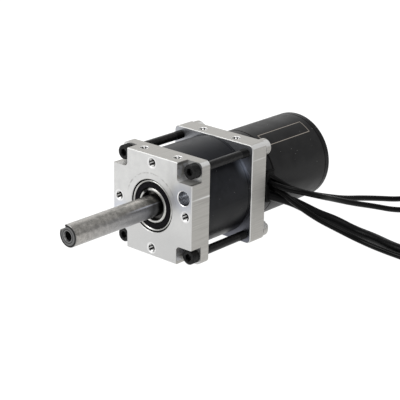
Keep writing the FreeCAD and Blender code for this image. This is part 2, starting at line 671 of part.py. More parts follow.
# ---- motor, fixed side --------------------------------------------------
def motor_base():
    """Fixed base: mounting flange, skirt with the lead opening, stator tube."""
    base = turned([(REGISTER_FRONT_X, TUBE_BORE_RADIUS), (REGISTER_FRONT_X, BASE_REGISTER_RADIUS),
                   (REAR_BACK_X, BASE_REGISTER_RADIUS), (REAR_BACK_X, MOTOR_RADIUS - 0.5),
                   (REAR_BACK_X - 0.5, MOTOR_RADIUS), (BASE_BACK_X, MOTOR_RADIUS),
                   (BASE_BACK_X, MOTOR_RADIUS - BASE_SKIRT_WALL),
                   (BASE_FLANGE_BACK_X, MOTOR_RADIUS - BASE_SKIRT_WALL),
                   (BASE_FLANGE_BACK_X, TUBE_STEP_RADIUS), (TUBE_STEP_X, TUBE_STEP_RADIUS),
                   (TUBE_STEP_X, TUBE_RADIUS), (TUBE_BACK_X, TUBE_RADIUS),
                   (TUBE_BACK_X, TUBE_BORE_RADIUS)])
    tools = [rod(MOTOR_BEARING_RADIUS, FRONT_MOTOR_BEARING_X - MOTOR_BEARING_LENGTH,
                 REGISTER_FRONT_X),
             rod(MOTOR_BEARING_RADIUS, TUBE_BACK_X, REAR_MOTOR_BEARING_X),
             lead_opening(GROMMET_BACK_Y, MOTOR_RADIUS + 1)]
    for quarter in range(4):
        y, z = on_circle(MOTOR_SCREW_CIRCLE, 45 + 90 * quarter)
        tools.append(rod(MOTOR_SCREW_RADIUS, BASE_FLANGE_BACK_X, REAR_BACK_X, y, z))
    return base.cut(tools)


def lead_opening(back_y, front_y):
    """Solid of a window on the +Y side with two round corners, open towards the can."""
    window = block((OPENING_FRONT_X, BASE_BACK_X), (back_y, front_y),
                   (OPENING_BOTTOM_Z, OPENING_TOP_Z))
    corners = [edge for edge in window.Edges
               if abs(edge.tangentAt(0).y) > 0.9
               and abs(edge.CenterOfMass.x - OPENING_FRONT_X) < 0.01]
    return window.makeFillet(OPENING_CORNER, corners)


def motor_screws():
    """Four screws that hold the motor on the rear plate from inside."""
    places = [on_circle(MOTOR_SCREW_CIRCLE, 45 + 90 * quarter) for quarter in range(4)]
    return Part.makeCompound([
        socket_screw(MOTOR_SCREW_SEAT_X, MOTOR_SCREW_END_X, MOTOR_SCREW_RADIUS,
                     MOTOR_SCREW_HEAD_RADIUS, MOTOR_SCREW_HEAD_LENGTH, 3.0, y, z)
        for y, z in places])


def lead_grommet():
    """Rubber bush in the lead opening, with a rounded outer lip."""
    bush = lead_opening(GROMMET_BACK_Y + 0.2, GROMMET_FACE_Y)
    lip = [edge for edge in bush.Edges
           if abs(edge.CenterOfMass.y - GROMMET_FACE_Y) < 0.01]
    return bush.makeFillet(GROMMET_LIP, lip)


def stator_core():
    """Laminated core: yoke, twelve teeth and their pole shoes."""
    core = tube(STATOR_YOKE_RADIUS, TUBE_RADIUS, STATOR_BACK_X, STATOR_FRONT_X)
    half = STATOR_TOOTH_WIDTH / 2
    tooth = block((STATOR_BACK_X, STATOR_FRONT_X),
                  (STATOR_YOKE_RADIUS - 1, STATOR_RADIUS - 1), (-half, half))
    shoe_ring = tube(STATOR_RADIUS, STATOR_RADIUS - STATOR_SHOE_LENGTH,
                     STATOR_BACK_X, STATOR_FRONT_X)
    gap = block((STATOR_BACK_X, STATOR_FRONT_X), (STATOR_RADIUS - 4, STATOR_RADIUS + 1),
                (-STATOR_SLOT_OPENING / 2, STATOR_SLOT_OPENING / 2))
    step = 360 / STATOR_TEETH
    shoes = shoe_ring.cut([spun(gap, (number + 0.5) * step) for number in range(STATOR_TEETH)])
    teeth = [spun(tooth, number * step) for number in range(STATOR_TEETH)]
    return core.fuse(teeth + shoes.Solids).removeSplitter()


def stator_windings():
    """One coil round each tooth of the core."""
    half = STATOR_TOOTH_WIDTH / 2
    wide = half + COIL_THICKNESS
    outer = block((STATOR_BACK_X - COIL_THICKNESS, STATOR_FRONT_X + COIL_THICKNESS),
                  (COIL_INNER_RADIUS, COIL_OUTER_RADIUS), (-wide, wide))
    upright = [edge for edge in outer.Edges if abs(edge.tangentAt(0).y) > 0.9]
    outer = outer.makeFillet(0.9 * COIL_THICKNESS, upright)
    window = block((STATOR_BACK_X, STATOR_FRONT_X),
                   (COIL_INNER_RADIUS, COIL_OUTER_RADIUS), (-half, half))
    coil = outer.cut(window)
    step = 360 / STATOR_TEETH
    return Part.makeCompound([spun(coil, number * step) for number in range(STATOR_TEETH)])


def hall_board():
    """Ring-shaped sensor board, seated on the step of the stator tube."""
    return tube(STATOR_RADIUS, TUBE_RADIUS, BOARD_BACK_X, TUBE_STEP_X)


def hall_sensors():
    """Three flat sensors on the board's rim, facing the ends of the magnets."""
    chip = block((BOARD_BACK_X - HALL_SENSOR_SIZE[0], BOARD_BACK_X),
                 (STATOR_RADIUS - HALL_SENSOR_SIZE[1], STATOR_RADIUS - 0.2),
                 (-HALL_SENSOR_SIZE[2] / 2, HALL_SENSOR_SIZE[2] / 2))
    return Part.makeCompound([spun(chip, angle) for angle in (-40, 0, 40)])


def motor_bearing_outer_races():
    """Outer races of both motor bearings, with their shields."""
    races = []
    for front_x in (FRONT_MOTOR_BEARING_X, REAR_MOTOR_BEARING_X):
        races.append(tube(MOTOR_BEARING_RADIUS, MOTOR_SHIELD_BORE_RADIUS,
                          front_x - MOTOR_BEARING_LENGTH, front_x))
    return Part.makeCompound(races)


# ---- motor, turning side ------------------------------------------------
def motor_bearing_inner_races():
    """Inner races of both motor bearings."""
    races = []
    for front_x in (FRONT_MOTOR_BEARING_X, REAR_MOTOR_BEARING_X):
        races.append(tube(MOTOR_INNER_RACE_RADIUS, MOTOR_SHAFT_RADIUS,
                          front_x - MOTOR_BEARING_LENGTH, front_x))
    return Part.makeCompound(races)


def motor_shaft():
    """Motor shaft from the pinion to the end cap, with the circlip groove."""
    groove_back_x = FRONT_MOTOR_BEARING_X
    groove_front_x = groove_back_x + CIRCLIP_LENGTH
    return turned([(STAGE_1_FRONT_X, 0), (STAGE_1_FRONT_X, MOTOR_SHAFT_RADIUS - 0.4),
                   (STAGE_1_FRONT_X - 0.4, MOTOR_SHAFT_RADIUS),
                   (groove_front_x, MOTOR_SHAFT_RADIUS), (groove_front_x, CIRCLIP_GROOVE_RADIUS),
                   (groove_back_x, CIRCLIP_GROOVE_RADIUS), (groove_back_x, MOTOR_SHAFT_RADIUS),
                   (CAP_BACK_X, MOTOR_SHAFT_RADIUS), (CAP_BACK_X, 0)])


def shaft_circlip():
    """Open ring that keeps the shaft in its front bearing."""
    back_x = FRONT_MOTOR_BEARING_X
    ring = tube(CIRCLIP_RADIUS, CIRCLIP_GROOVE_RADIUS, back_x, back_x + CIRCLIP_LENGTH)
    return ring.cut(block((back_x, back_x + CIRCLIP_LENGTH), (-1.5, 1.5), (-CIRCLIP_RADIUS, 0)))


def rotor_can():
    """Steel flux ring, the outer skin of the motor."""
    return turned([(CAN_FRONT_X, CAN_BORE_RADIUS), (CAN_FRONT_X, MOTOR_RADIUS - 0.4),
                   (CAN_FRONT_X - 0.4, MOTOR_RADIUS), (CAN_BACK_X + JOINT_EDGE, MOTOR_RADIUS),
                   (CAN_BACK_X, MOTOR_RADIUS - JOINT_EDGE), (CAN_BACK_X, CAN_BORE_RADIUS)])


def rotor_end_cap():
    """Vented cap that joins the can to the motor shaft."""
    cap = turned([(CAN_BACK_X + CAP_SPIGOT_LENGTH, CAN_BORE_RADIUS - 2.2),
                  (CAN_BACK_X + CAP_SPIGOT_LENGTH, CAN_BORE_RADIUS),
                  (CAN_BACK_X, CAN_BORE_RADIUS), (CAN_BACK_X, MOTOR_RADIUS - JOINT_EDGE),
                  (CAN_BACK_X - JOINT_EDGE, MOTOR_RADIUS),
                  (CAP_BACK_X + CAP_EDGE, MOTOR_RADIUS), (CAP_BACK_X, MOTOR_RADIUS - CAP_EDGE),
                  (CAP_BACK_X, MOTOR_SHAFT_RADIUS), (CAP_HUB_FRONT_X, MOTOR_SHAFT_RADIUS),
                  (CAP_HUB_FRONT_X, CAP_HUB_RADIUS), (CAN_BACK_X, CAP_HUB_RADIUS),
                  (CAN_BACK_X, CAN_BORE_RADIUS - 2.2)])
    return cap.cut([spun(vent(), 360 / VENT_COUNT * number) for number in range(VENT_COUNT)])


def vent():
    """One window between two spokes of the cap."""
    half = math.radians(VENT_ARC / 2)
    sides = [Part.makeLine(polar(VENT_INNER_RADIUS, -half), polar(VENT_OUTER_RADIUS, -half)),
             circle_arc(VENT_OUTER_RADIUS, -half, half),
             Part.makeLine(polar(VENT_OUTER_RADIUS, half), polar(VENT_INNER_RADIUS, half)),
             circle_arc(VENT_INNER_RADIUS, half, -half)]
    length = CAN_BACK_X - CAP_BACK_X + 2
    window = Part.Face(Part.Wire(sides)).extrude(AXIS * length)
    window.translate(Vector(CAP_BACK_X - 1, 0, 0))
    upright = [edge for edge in window.Edges if edge.Length > length - 0.01]
    return window.makeFillet(1.5, upright)


def rotor_magnets():
    """Arc magnets glued inside the can."""
    half = math.radians(MAGNET_ARC / 2)
    sides = [circle_arc(CAN_BORE_RADIUS, -half, half),
             Part.makeLine(polar(CAN_BORE_RADIUS, half), polar(MAGNET_INNER_RADIUS, half)),
             circle_arc(MAGNET_INNER_RADIUS, half, -half),
             Part.makeLine(polar(MAGNET_INNER_RADIUS, -half), polar(CAN_BORE_RADIUS, -half))]
    magnet = Part.Face(Part.Wire(sides)).extrude(AXIS * (MAGNET_FRONT_X - MAGNET_BACK_X))
    magnet.translate(Vector(MAGNET_BACK_X, 0, 0))
    step = 360 / MAGNET_COUNT
    return Part.makeCompound([spun(magnet, number * step) for number in range(MAGNET_COUNT)])


# ---- leads --------------------------------------------------------------
def cord_tube(name, points, radius):
    """Cord along straight runs joined by tangent arcs."""
    corners = [Vector(*point) for point in points]
    runs = [after.sub(before) for before, after in zip(corners, corners[1:])]
    edges = []
    radii = []
    start = corners[0]
    for before, after, corner in zip(runs, runs[1:], corners[1:]):
        turn = before.getAngle(after)
        setback = 0.45 * min(before.Length, after.Length)
        bend_radius = setback / math.tan(turn / 2)
        radii.append(bend_radius)
        ahead = Vector(before).normalize()
        away = Vector(after).normalize()
        arc_start = corner - ahead * setback
        arc_end = corner + away * setback
        inward = (away - ahead).normalize()
        reach = bend_radius / math.cos(turn / 2) - bend_radius
        arc_middle = corner + inward * reach
        edges.append(Part.LineSegment(start, arc_start).toShape())
        edges.append(Part.Arc(arc_start, arc_middle, arc_end).toShape())
        start = arc_end
    edges.append(Part.LineSegment(start, corners[-1]).toShape())
    path = Part.Wire(edges)
    section = Part.Wire(Part.makeCircle(radius, corners[0], runs[0]))
    solid = path.makePipeShell([section], True, False)
    print(name, "length", round(path.Length, 1), "bend radii", [round(r) for r in radii],
          "volume over section times length",
          round(solid.Volume / (math.pi * radius ** 2 * path.Length), 4))
    return solid


def at_cord_end(shape, points):
    """Shape drawn along X from the origin, moved to the end of a cord and pointed on."""
    ahead = Vector(*points[-1]).sub(Vector(*points[-2]))
    shape.Placement = FreeCAD.Placement(Vector(*points[-1]), FreeCAD.Rotation(AXIS, ahead))
    return shape


def phase_connector(points):
    """Bullet plug of a phase lead: crimp barrel, neck and a slotted, bulged nose."""
    barrel_end = 0.45 * CONNECTOR_LENGTH
    nose_start = 0.5 * CONNECTOR_LENGTH
    widest_x = 0.75 * CONNECTOR_LENGTH
    edge = 0.3
    nose_radius = 0.7 * CONNECTOR_RADIUS
    plug = turned([(0, 0), (0, CONNECTOR_RADIUS - edge), (edge, CONNECTOR_RADIUS),
                   (barrel_end - edge, CONNECTOR_RADIUS), (barrel_end, CONNECTOR_RADIUS - edge),
                   (barrel_end, 0.6 * CONNECTOR_RADIUS), (nose_start, 0.6 * CONNECTOR_RADIUS),
                   (nose_start, nose_radius), (widest_x, 0.9 * CONNECTOR_RADIUS),
                   (CONNECTOR_LENGTH - 1, nose_radius), (CONNECTOR_LENGTH, nose_radius / 2),
                   (CONNECTOR_LENGTH, 0)])
    slit = block((nose_start + 0.6, CONNECTOR_LENGTH - 1.2),
                 (-CONNECTOR_RADIUS, CONNECTOR_RADIUS),
                 (-CONNECTOR_SLIT / 2, CONNECTOR_SLIT / 2))
    return at_cord_end(plug.cut([slit, spun(slit, 90)]), points)


def sensor_plug(points):
    """Six-way plug of the sensor cable: housing, guide ribs and contact windows."""
    length, width, height = SENSOR_PLUG_SIZE
    low = -height / 2
    body = block((0, length), (-width / 2, width / 2), (low, height / 2 - PLUG_RIB_HEIGHT))
    body = body.makeChamfer(PLUG_EDGE, [edge for edge in body.Edges
                                        if abs(edge.tangentAt(0).x) > 0.9])
    ribs = [block((length / 3, length), (y - 0.5, y + 0.5), (0, height / 2))
            for y in (-width / 3, width / 3)]
    middle_z = -PLUG_RIB_HEIGHT / 2
    windows = []
    for number in range(PIN_COUNT):
        y = PIN_SPACING * (number - (PIN_COUNT - 1) / 2)
        windows.append(block((length - PIN_WINDOW_DEPTH, length),
                             (y - PIN_WINDOW / 2, y + PIN_WINDOW / 2),
                             (middle_z - PIN_WINDOW / 2, middle_z + PIN_WINDOW / 2)))
    return at_cord_end(body.fuse(ribs).cut(windows), points)


# ---- the set ------------------------------------------------------------
save("front_plate", front_plate())
save("rear_plate", rear_plate())
save("ring_gear_barrel", ring_gear())
save("end_ring", end_ring())
save("gearbox_screws", gearbox_screws())
save_output_bearing("front_bearing", FRONT_BEARING_X)
save_output_bearing("rear_bearing", REAR_BEARING_X)

save("output_shaft", output_shaft())
save("output_carrier", output_carrier())
save_planets("stage_2", STAGE_2_FRONT_X, STAGE_2_BACK_X, FLANGE_FRONT_X)
save("carrier_1", carrier_1())
save("stage_2_sun", stage_2_sun())
save_planets("stage_1", STAGE_1_FRONT_X, STAGE_1_BACK_X, CARRIER_1_FRONT_X)
save("sun_pinion", sun_pinion())
save("pinion_set_screw", pinion_set_screw())

save("motor_base", motor_base())
save("motor_screws", motor_screws())
save("lead_grommet", lead_grommet())
save("stator_core", stator_core())
save("stator_windings", stator_windings())
save("hall_board", hall_board())
save("hall_sensors", hall_sensors())
save("motor_bearing_outer_races", motor_bearing_outer_races())

save("motor_bearing_inner_races", motor_bearing_inner_races())
save("motor_shaft", motor_shaft())
save("shaft_circlip", shaft_circlip())
save("rotor_can", rotor_can())
save("rotor_end_cap", rotor_end_cap())
save("rotor_magnets", rotor_magnets())

for letter, route in PHASE_LEAD_ROUTES.items():
    save("phase_lead_" + letter, cord_tube("phase_lead_" + letter, route, LEAD_RADIUS))
    save("phase_connector_" + letter, phase_connector(route))
save("sensor_cable", cord_tube("sensor_cable", SENSOR_CABLE_ROUTE, SENSOR_CABLE_RADIUS))
save("sensor_plug", sensor_plug(SENSOR_CABLE_ROUTE))
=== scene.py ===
"""Looks of a planetary gearmotor: a black outrunner motor on a square-plated gearbox.

Metres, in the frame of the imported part: the shaft points to +X and +Z is up.
"""

import math

import bmesh
import bpy
from mathutils import Matrix, Vector


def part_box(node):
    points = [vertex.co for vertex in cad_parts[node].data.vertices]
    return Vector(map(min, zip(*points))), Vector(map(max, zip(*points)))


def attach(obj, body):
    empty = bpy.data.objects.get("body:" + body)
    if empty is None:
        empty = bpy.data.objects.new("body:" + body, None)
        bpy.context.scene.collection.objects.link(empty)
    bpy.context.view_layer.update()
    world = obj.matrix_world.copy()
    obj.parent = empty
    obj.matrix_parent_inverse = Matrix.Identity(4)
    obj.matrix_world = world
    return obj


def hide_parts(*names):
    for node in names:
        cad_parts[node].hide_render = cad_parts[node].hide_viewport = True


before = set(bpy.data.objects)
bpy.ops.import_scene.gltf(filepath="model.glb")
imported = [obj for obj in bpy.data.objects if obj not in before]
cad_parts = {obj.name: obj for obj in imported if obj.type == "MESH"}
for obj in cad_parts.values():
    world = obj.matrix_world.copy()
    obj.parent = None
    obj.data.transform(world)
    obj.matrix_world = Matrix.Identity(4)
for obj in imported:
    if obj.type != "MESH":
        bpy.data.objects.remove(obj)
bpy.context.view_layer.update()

# ---- studio ----------------------------------------------------------------
# A sheet of white card that the unit stands on, in a white tent. Soft lamps
# stand in front on the left, behind it, and high over the leads.
plate_low, plate_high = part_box("front_plate")
FLOOR_Z = plate_low[2]
FLOOR_SIZE = 6.0
CARD_WHITE = 0.6
CARD_GLOW = 1.22
CARD_DROP = 0.0001              # the card lies this far below the plates
SHADOW_SHARE = 0.15             # how much of the card's own shading the eye sees
TENT_LEVEL = 0.5

card_sheet = bmesh.new()
bmesh.ops.create_grid(card_sheet, x_segments=1, y_segments=1, size=FLOOR_SIZE / 2)
bmesh.ops.translate(card_sheet, vec=(0, 0, FLOOR_Z - CARD_DROP), verts=card_sheet.verts)
floor_mesh = bpy.data.meshes.new("floor")
card_sheet.to_mesh(floor_mesh)
card_sheet.free()
floor = bpy.data.objects.new("floor", floor_mesh)
bpy.context.scene.collection.objects.link(floor)


def add(tree, kind, inputs=None, **settings):
    """New node in a tree. An input takes a value, or the socket that feeds it."""
    node = tree.nodes.new("ShaderNode" + kind)
    for name, value in settings.items():
        setattr(node, name, value)
    for name, value in (inputs or {}).items():
        if isinstance(value, bpy.types.NodeSocket):
            tree.links.new(value, node.inputs[name])
        else:
            node.inputs[name].default_value = value
    return node


card = bpy.data.materials.new("white_card")
card.use_nodes = True
card_tree = card.node_tree
card_shader = card_tree.nodes["Principled BSDF"]
card_shader.inputs["Base Color"].default_value = (CARD_WHITE, CARD_WHITE, CARD_WHITE, 1)
card_shader.inputs["Roughness"].default_value = 0.9
card_shader.inputs["Specular IOR Level"].default_value = 0.0
card_glow = add(card_tree, "Emission", {"Strength": CARD_GLOW})
card_seen = add(card_tree, "MixShader", {0: 1 - SHADOW_SHARE, 1: card_shader.outputs["BSDF"],
                                         2: card_glow.outputs["Emission"]})
card_path = add(card_tree, "LightPath")
card_through = add(card_tree, "Math", {0: card_path.outputs["Is Glossy Ray"],
                                       1: card_path.outputs["Is Transmission Ray"]},
                   operation="MAXIMUM")
card_eye = add(card_tree, "Math", {0: card_path.outputs["Is Camera Ray"],
                                   1: card_through.outputs[0]}, operation="MAXIMUM")
card_mix = add(card_tree, "MixShader", {0: card_eye.outputs[0], 1: card_shader.outputs["BSDF"],
                                        2: card_seen.outputs["Shader"]})
card_tree.links.new(card_mix.outputs["Shader"], card_tree.nodes["Material Output"].inputs["Surface"])
floor_mesh.materials.append(card)

tent = bpy.data.worlds.new("white_tent")
bpy.context.scene.world = tent
tent.use_nodes = True
tent_tree = tent.node_tree
tent_seen = add(tent_tree, "Background", {"Color": (1, 1, 1, 1), "Strength": 1.0})
tent_light = tent_tree.nodes["Background"]
tent_light.inputs["Color"].default_value = (1, 1, 1, 1)
tent_light.inputs["Strength"].default_value = TENT_LEVEL
tent_path = add(tent_tree, "LightPath")
tent_mix = add(tent_tree, "MixShader", {0: tent_path.outputs["Is Camera Ray"],
                                        1: tent_light.outputs["Background"],
                                        2: tent_seen.outputs["Background"]})
tent_tree.links.new(tent_mix.outputs["Shader"], tent_tree.nodes["World Output"].inputs["Surface"])


def soft_box(name, place, aim, size, power):
    """Square lamp behind a diffuser, turned to face a point."""
    light = bpy.data.lights.new(name, "AREA")
    light.size = size
    light.energy = power
    lamp = bpy.data.objects.new(name, light)
    bpy.context.scene.collection.objects.link(lamp)
    lamp.location = place
    lamp.rotation_euler = (Vector(place) - Vector(aim)).to_track_quat("Z", "Y").to_euler()


soft_box("key_lamp", (0.75, -0.55, 0.85), (-0.03, 0, 0), 0.7, 6.5)
soft_box("back_lamp", (-0.80, -0.70, 0.50), (-0.06, 0, 0), 0.8, 1.6)
soft_box("top_lamp", (0.0, 0.55, 0.95), (-0.06, 0, 0), 0.7, 3.0)

# ---- camera ----------------------------------------------------------------
# A long lens beyond the end of the shaft, on the side of the leads. It looks
# down about twenty degrees and is turned a little about its own axis.
CAMERA_PLACE = (0.50501, 0.47823, 0.26003)
CAMERA_TURN = math.radians(131.208)
CAMERA_TILT = math.radians(69.783)
CAMERA_ROLL = math.radians(1.0753)
CAMERA_LENS = 119.19            # both in millimetres
CAMERA_SENSOR = 36.0
bpy.context.scene.view_settings.view_transform = "Standard"
camera_data = bpy.data.cameras.new("camera")
camera_data.lens = CAMERA_LENS
camera_data.sensor_width = CAMERA_SENSOR
camera = bpy.data.objects.new("camera", camera_data)
camera.matrix_world = (Matrix.Translation(CAMERA_PLACE)
                       @ Matrix.Rotation(CAMERA_TURN, 4, "Z")
                       @ Matrix.Rotation(CAMERA_TILT, 4, "X")
                       @ Matrix.Rotation(CAMERA_ROLL, 4, "Z"))
bpy.context.scene.collection.objects.link(camera)
bpy.context.scene.camera = camera

# ---- end plates ------------------------------------------------------------
# Two square plates milled from aluminium bar. The faces are fly-cut fine and
# bright; the sides keep the coarser drag lines of the bar and are painted darker
# as painted shade. Dried cutting oil dulls the metal in the corner notches, whose
# walls carry painted dark patches of reflection and shade; the tapped holes carry
# painted shade and painted reflection streaks, and edges, hole rims and long
# corners carry painted highlights.
FACE_COLOUR = (0.69, 0.69, 0.68, 1)
FACE_CLOUD_COLOUR = (0.63, 0.63, 0.625, 1)
SHADED_SIDE_COLOUR = (0.49, 0.48, 0.455, 1)
SIDE_LINE_COLOUR = (0.36, 0.35, 0.33, 1)
SCRATCH_COLOUR = (0.70, 0.70, 0.69, 1)
CORNER_HIGHLIGHT_COLOUR = (0.92, 0.92, 0.91, 1)
EDGE_HIGHLIGHT_COLOUR = (0.66, 0.66, 0.65, 1)
RIM_HIGHLIGHT_COLOUR = (1, 1, 1, 1)
FLAT_LIMITS = (0.75, 0.85)      # how nearly a flat surface looks along its axis
SLANT = math.cos(math.radians(45))
EDGE_LEAN = (0.2, 0.1)          # how far a broken edge may lean from the slant; broken edges carry a painted highlight
RIM_LEAN = (0.35, 0.2)
CORNER_LIMITS = (0.20, 0.42)    # how nearly a long edge looks between +Y and +Z, where a painted highlight lies
SOFT_EDGE = 0.0001              # over which one finish gives way to the next
RUB_RING_RADIUS = 0.0192        # where a mating part has turned on the face
RUB_RING_WIDTH = 0.0006
RUB_RING_Z = (0.002, 0.012)     # it shows only in the upper half
RUB_RING_COLOUR = (0.32, 0.31, 0.30, 1)
SEAT_RIM_RADIUS = 0.01555       # inside it, painted shade darkens the seat round the bearing
PAINTED_SHADE_COLOUR = (0.012, 0.012, 0.012, 1)
INNER_FACE_X = -0.045           # behind it, the face towards the barrel carries a painted reflection of the barrel, with painted shade lower down
INNER_FACE_REFLECTION_COLOUR = (0.42, 0.43, 0.455, 1)
INNER_LOW_SHADE_COLOUR = (0.15, 0.155, 0.18, 1)
INNER_FACE_Z = (0.0, 0.016)
FACE_CIRCLE_RADIUS = 0.0254
SIDE_HOLE_Y = 0.0127
SIDE_HOLE_XS = (-0.0072, -0.0572)
SIDE_HOLE_FLOOR = 0.020         # side holes lie beyond it, above and below the axis
TAPPED_WALL_RADIUS = 0.00285
TAPPED_RIM_RADIUS = 0.0036
# Painted reflection on the tapped walls: a bright line at these turns with dark streaks beside it, and
# painted shade towards the bottom of each hole.
FACE_GLINT_TURN = math.radians(20)
SIDE_GLINT_TURN = math.radians(43)
GLINT_HALF_TURN = math.radians(8)
STREAK_END_TURN = math.radians(44)
STREAK_DEPTH = (0.0001, 0.0005)
SHADE_DEPTH = (0.0030, 0.0042)
PLAIN_HOLE_Y = 0.024
PLAIN_HOLE_Z = 0.0103
PLAIN_HOLE_RADIUS = 0.0043
PLAIN_RIM_RADIUS = 0.0049
PLAIN_HOLE_COLOUR = (0.46, 0.47, 0.495, 1)
PLAIN_HALO_RADIUS = 0.0105      # a painted bluish reflection lies on the cut face round the plain holes
PLAIN_HALO_REFLECTION_COLOUR = (0.60, 0.64, 0.74, 1)
# Painted shade: the face is darker towards the bottom.
LOW_FACE_SHADE_Z = (0.002, -0.018)
LOW_FACE_SHADE_COLOUR = (0.57, 0.57, 0.565, 1)
NOTCH_START = 0.0170            # the corner notches lie beyond it on both axes
NOTCH_END = 0.0284
NOTCH_XS = (-0.0001, -0.02)     # from the face to the back of the front plate
NOTCH_WALL = 0.0002
# Painted reflection of the screw heads on the notch walls, in dark patches.
NOTCH_REFLECTION_COLOUR = (0.62, 0.63, 0.66, 1)
NOTCH_FILM = 0.45               # share of the light that the dried oil scatters


def shader_group(name, inputs, outputs):
    """Empty node group; inputs are (name, kind, start value), outputs (name, kind)."""
    tree = bpy.data.node_groups.new(name, "ShaderNodeTree")
    for label, kind, start in inputs:
        socket = tree.interface.new_socket(label, in_out="INPUT", socket_type="NodeSocket" + kind)
        socket.default_value = start
    for label, kind in outputs:
        tree.interface.new_socket(label, in_out="OUTPUT", socket_type="NodeSocket" + kind)
    return tree, tree.nodes.new("NodeGroupInput"), tree.nodes.new("NodeGroupOutput")


def placed(tree, group, inputs):
    """Outputs of a node group placed in a tree, with its own inputs."""
    return add(tree, "Group", inputs, node_tree=group).outputs


def parts(tree, vector):
    """X, Y and Z of a vector."""
    return add(tree, "SeparateXYZ", {0: vector}).outputs


def maths(tree, operation, *values):
    """Result of one arithmetic node."""
    return add(tree, "Math", dict(enumerate(values)), operation=operation).outputs[0]


def minus(tree, value, taken):
    """Value less another one."""
    return maths(tree, "SUBTRACT", value, taken)


def times(tree, product, *factors):
    """Values multiplied together, as masks are where they overlap."""
    for factor in factors:
        product = maths(tree, "MULTIPLY", product, factor)
    return product


def away(tree, value, middle):
    """How far a value is from a middle, on either side."""
    return maths(tree, "ABSOLUTE", minus(tree, value, middle))


def between(tree, value, low, high):
    """Value stretched so that low gives 0 and high gives 1, and no further."""
    return add(tree, "MapRange", {"Value": value, "From Min": low, "From Max": high}).outputs[0]


def inside(tree, distance, radius):
    """1 within a radius and 0 beyond it."""
    return between(tree, distance, radius, radius - SOFT_EDGE)


def blended(tree, share, first, second):
    """Number between two numbers."""
    return add(tree, "Mix", {0: share, 2: first, 3: second}).outputs[0]


def mixed(tree, share, first, second):
    """Colour between two colours."""
    return add(tree, "Mix", {0: share, 6: first, 7: second}, data_type="RGBA").outputs[2]


def stretched(tree, vector, factors):
    """Vector with each axis scaled, which stretches a pattern along the small ones."""
    return add(tree, "VectorMath", {0: vector, 1: factors}, operation="MULTIPLY").outputs[0]


def noise(tree, vector, scale, detail=3.0, roughness=0.5):
    """Smooth random value over a vector."""
    return add(tree, "TexNoise", {"Vector": vector, "Scale": scale, "Detail": detail,
                                  "Roughness": roughness}).outputs["Fac"]


def bump(tree, height, distance):
    """Normal of a surface with a height in units of distance."""
    return add(tree, "Bump", {"Height": height, "Distance": distance}).outputs["Normal"]


def finish(name, roughness, metallic=0.0, specular=0.5):
    """New material with its tree, its shader and its object coordinates."""
    material = bpy.data.materials.new(name)
    material.use_nodes = True
    tree = material.node_tree
    shader = tree.nodes["Principled BSDF"]
    shader.inputs["Roughness"].default_value = roughness
    shader.inputs["Metallic"].default_value = metallic
    shader.inputs["Specular IOR Level"].default_value = specular
    return material, tree, shader, add(tree, "TexCoord").outputs


def wire_up(tree, shader, **sockets):
    """Feed the shader's inputs, with underscores for the spaces in their names."""
    for name, socket in sockets.items():
        tree.links.new(socket, shader.inputs[name.replace("_", " ")])


def dress(material, *nodes):
    """Give CAD pieces their material."""
    for name in nodes:
        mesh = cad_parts[name].data
        mesh.materials.clear()
        mesh.materials.append(material)


def hypotenuse(tree, first, second):
    """Distance that two offsets at right angles make."""
    return maths(tree, "SQRT", maths(tree, "ADD", times(tree, first, first), times(tree, second, second)))


def from_shaft_axis(tree, axes):
    """Distance from the axis of the output shaft."""
    return hypotenuse(tree, axes["Y"], axes["Z"])


# Drag lines of a cutter or a grinding wheel: long streaks along one axis.
drag_lines, drag_in, drag_out = shader_group(
    "drag_lines",
    [("Vector", "Vector", (0, 0, 0)), ("Stretch", "Vector", (40, 1500, 1500))], [("Lines", "Float")])
drag_pattern = noise(drag_lines, stretched(drag_lines, drag_in.outputs["Vector"],
                                           drag_in.outputs["Stretch"]), 1.0, 4.0, 0.65)
drag_lines.links.new(between(drag_lines, drag_pattern, 0.32, 0.68), drag_out.inputs["Lines"])


def lines_along(tree, vector, stretch):
    """Drag lines placed in a material."""
    return placed(tree, drag_lines, {"Vector": vector, "Stretch": stretch})["Lines"]


# Tapped holes: distance from the axis of the nearest one, and painted shade and
# reflection: the bottom is darkened, and two dark streaks of painted reflection
# lie on the wall beside a bright line.
holes, holes_in, holes_out = shader_group(
    "tapped_holes", [("Place", "Vector", (0, 0, 0)), ("Facing", "Vector", (0, 0, 0))],
    [("Distance", "Float"), ("PaintedShade", "Float")])
axes, facing = (parts(holes, holes_in.outputs[name]) for name in ("Place", "Facing"))
wide, tall = (maths(holes, "ABSOLUTE", axes[axis]) for axis in "YZ")
face_hole = maths(holes, "MINIMUM",
                  hypotenuse(holes, minus(holes, wide, FACE_CIRCLE_RADIUS), axes["Z"]),
                  hypotenuse(holes, minus(holes, tall, FACE_CIRCLE_RADIUS), axes["Y"]))
along = away(holes, axes["X"], sum(SIDE_HOLE_XS) / 2)
side_hole = hypotenuse(holes, minus(holes, along, (SIDE_HOLE_XS[0] - SIDE_HOLE_XS[1]) / 2),
                       minus(holes, wide, SIDE_HOLE_Y))
holes.links.new(maths(holes, "MINIMUM", face_hole, side_hole), holes_out.inputs["Distance"])
in_side = times(holes, between(holes, tall, SIDE_HOLE_FLOOR, SIDE_HOLE_FLOOR + 0.001),
                between(holes, wide, SIDE_HOLE_Y * 0.5, SIDE_HOLE_Y * 0.6))
face_turn = minus(holes, maths(holes, "ARCTAN2", facing["Z"], facing["Y"]), FACE_GLINT_TURN)
side_turn = minus(holes, maths(holes, "ARCTAN2", facing["Y"], facing["X"]), SIDE_GLINT_TURN)
turn = maths(holes, "ABSOLUTE", blended(holes, in_side, face_turn, side_turn))
depth = blended(holes, in_side, times(holes, axes["X"], -1), minus(holes, plate_high[2], tall))
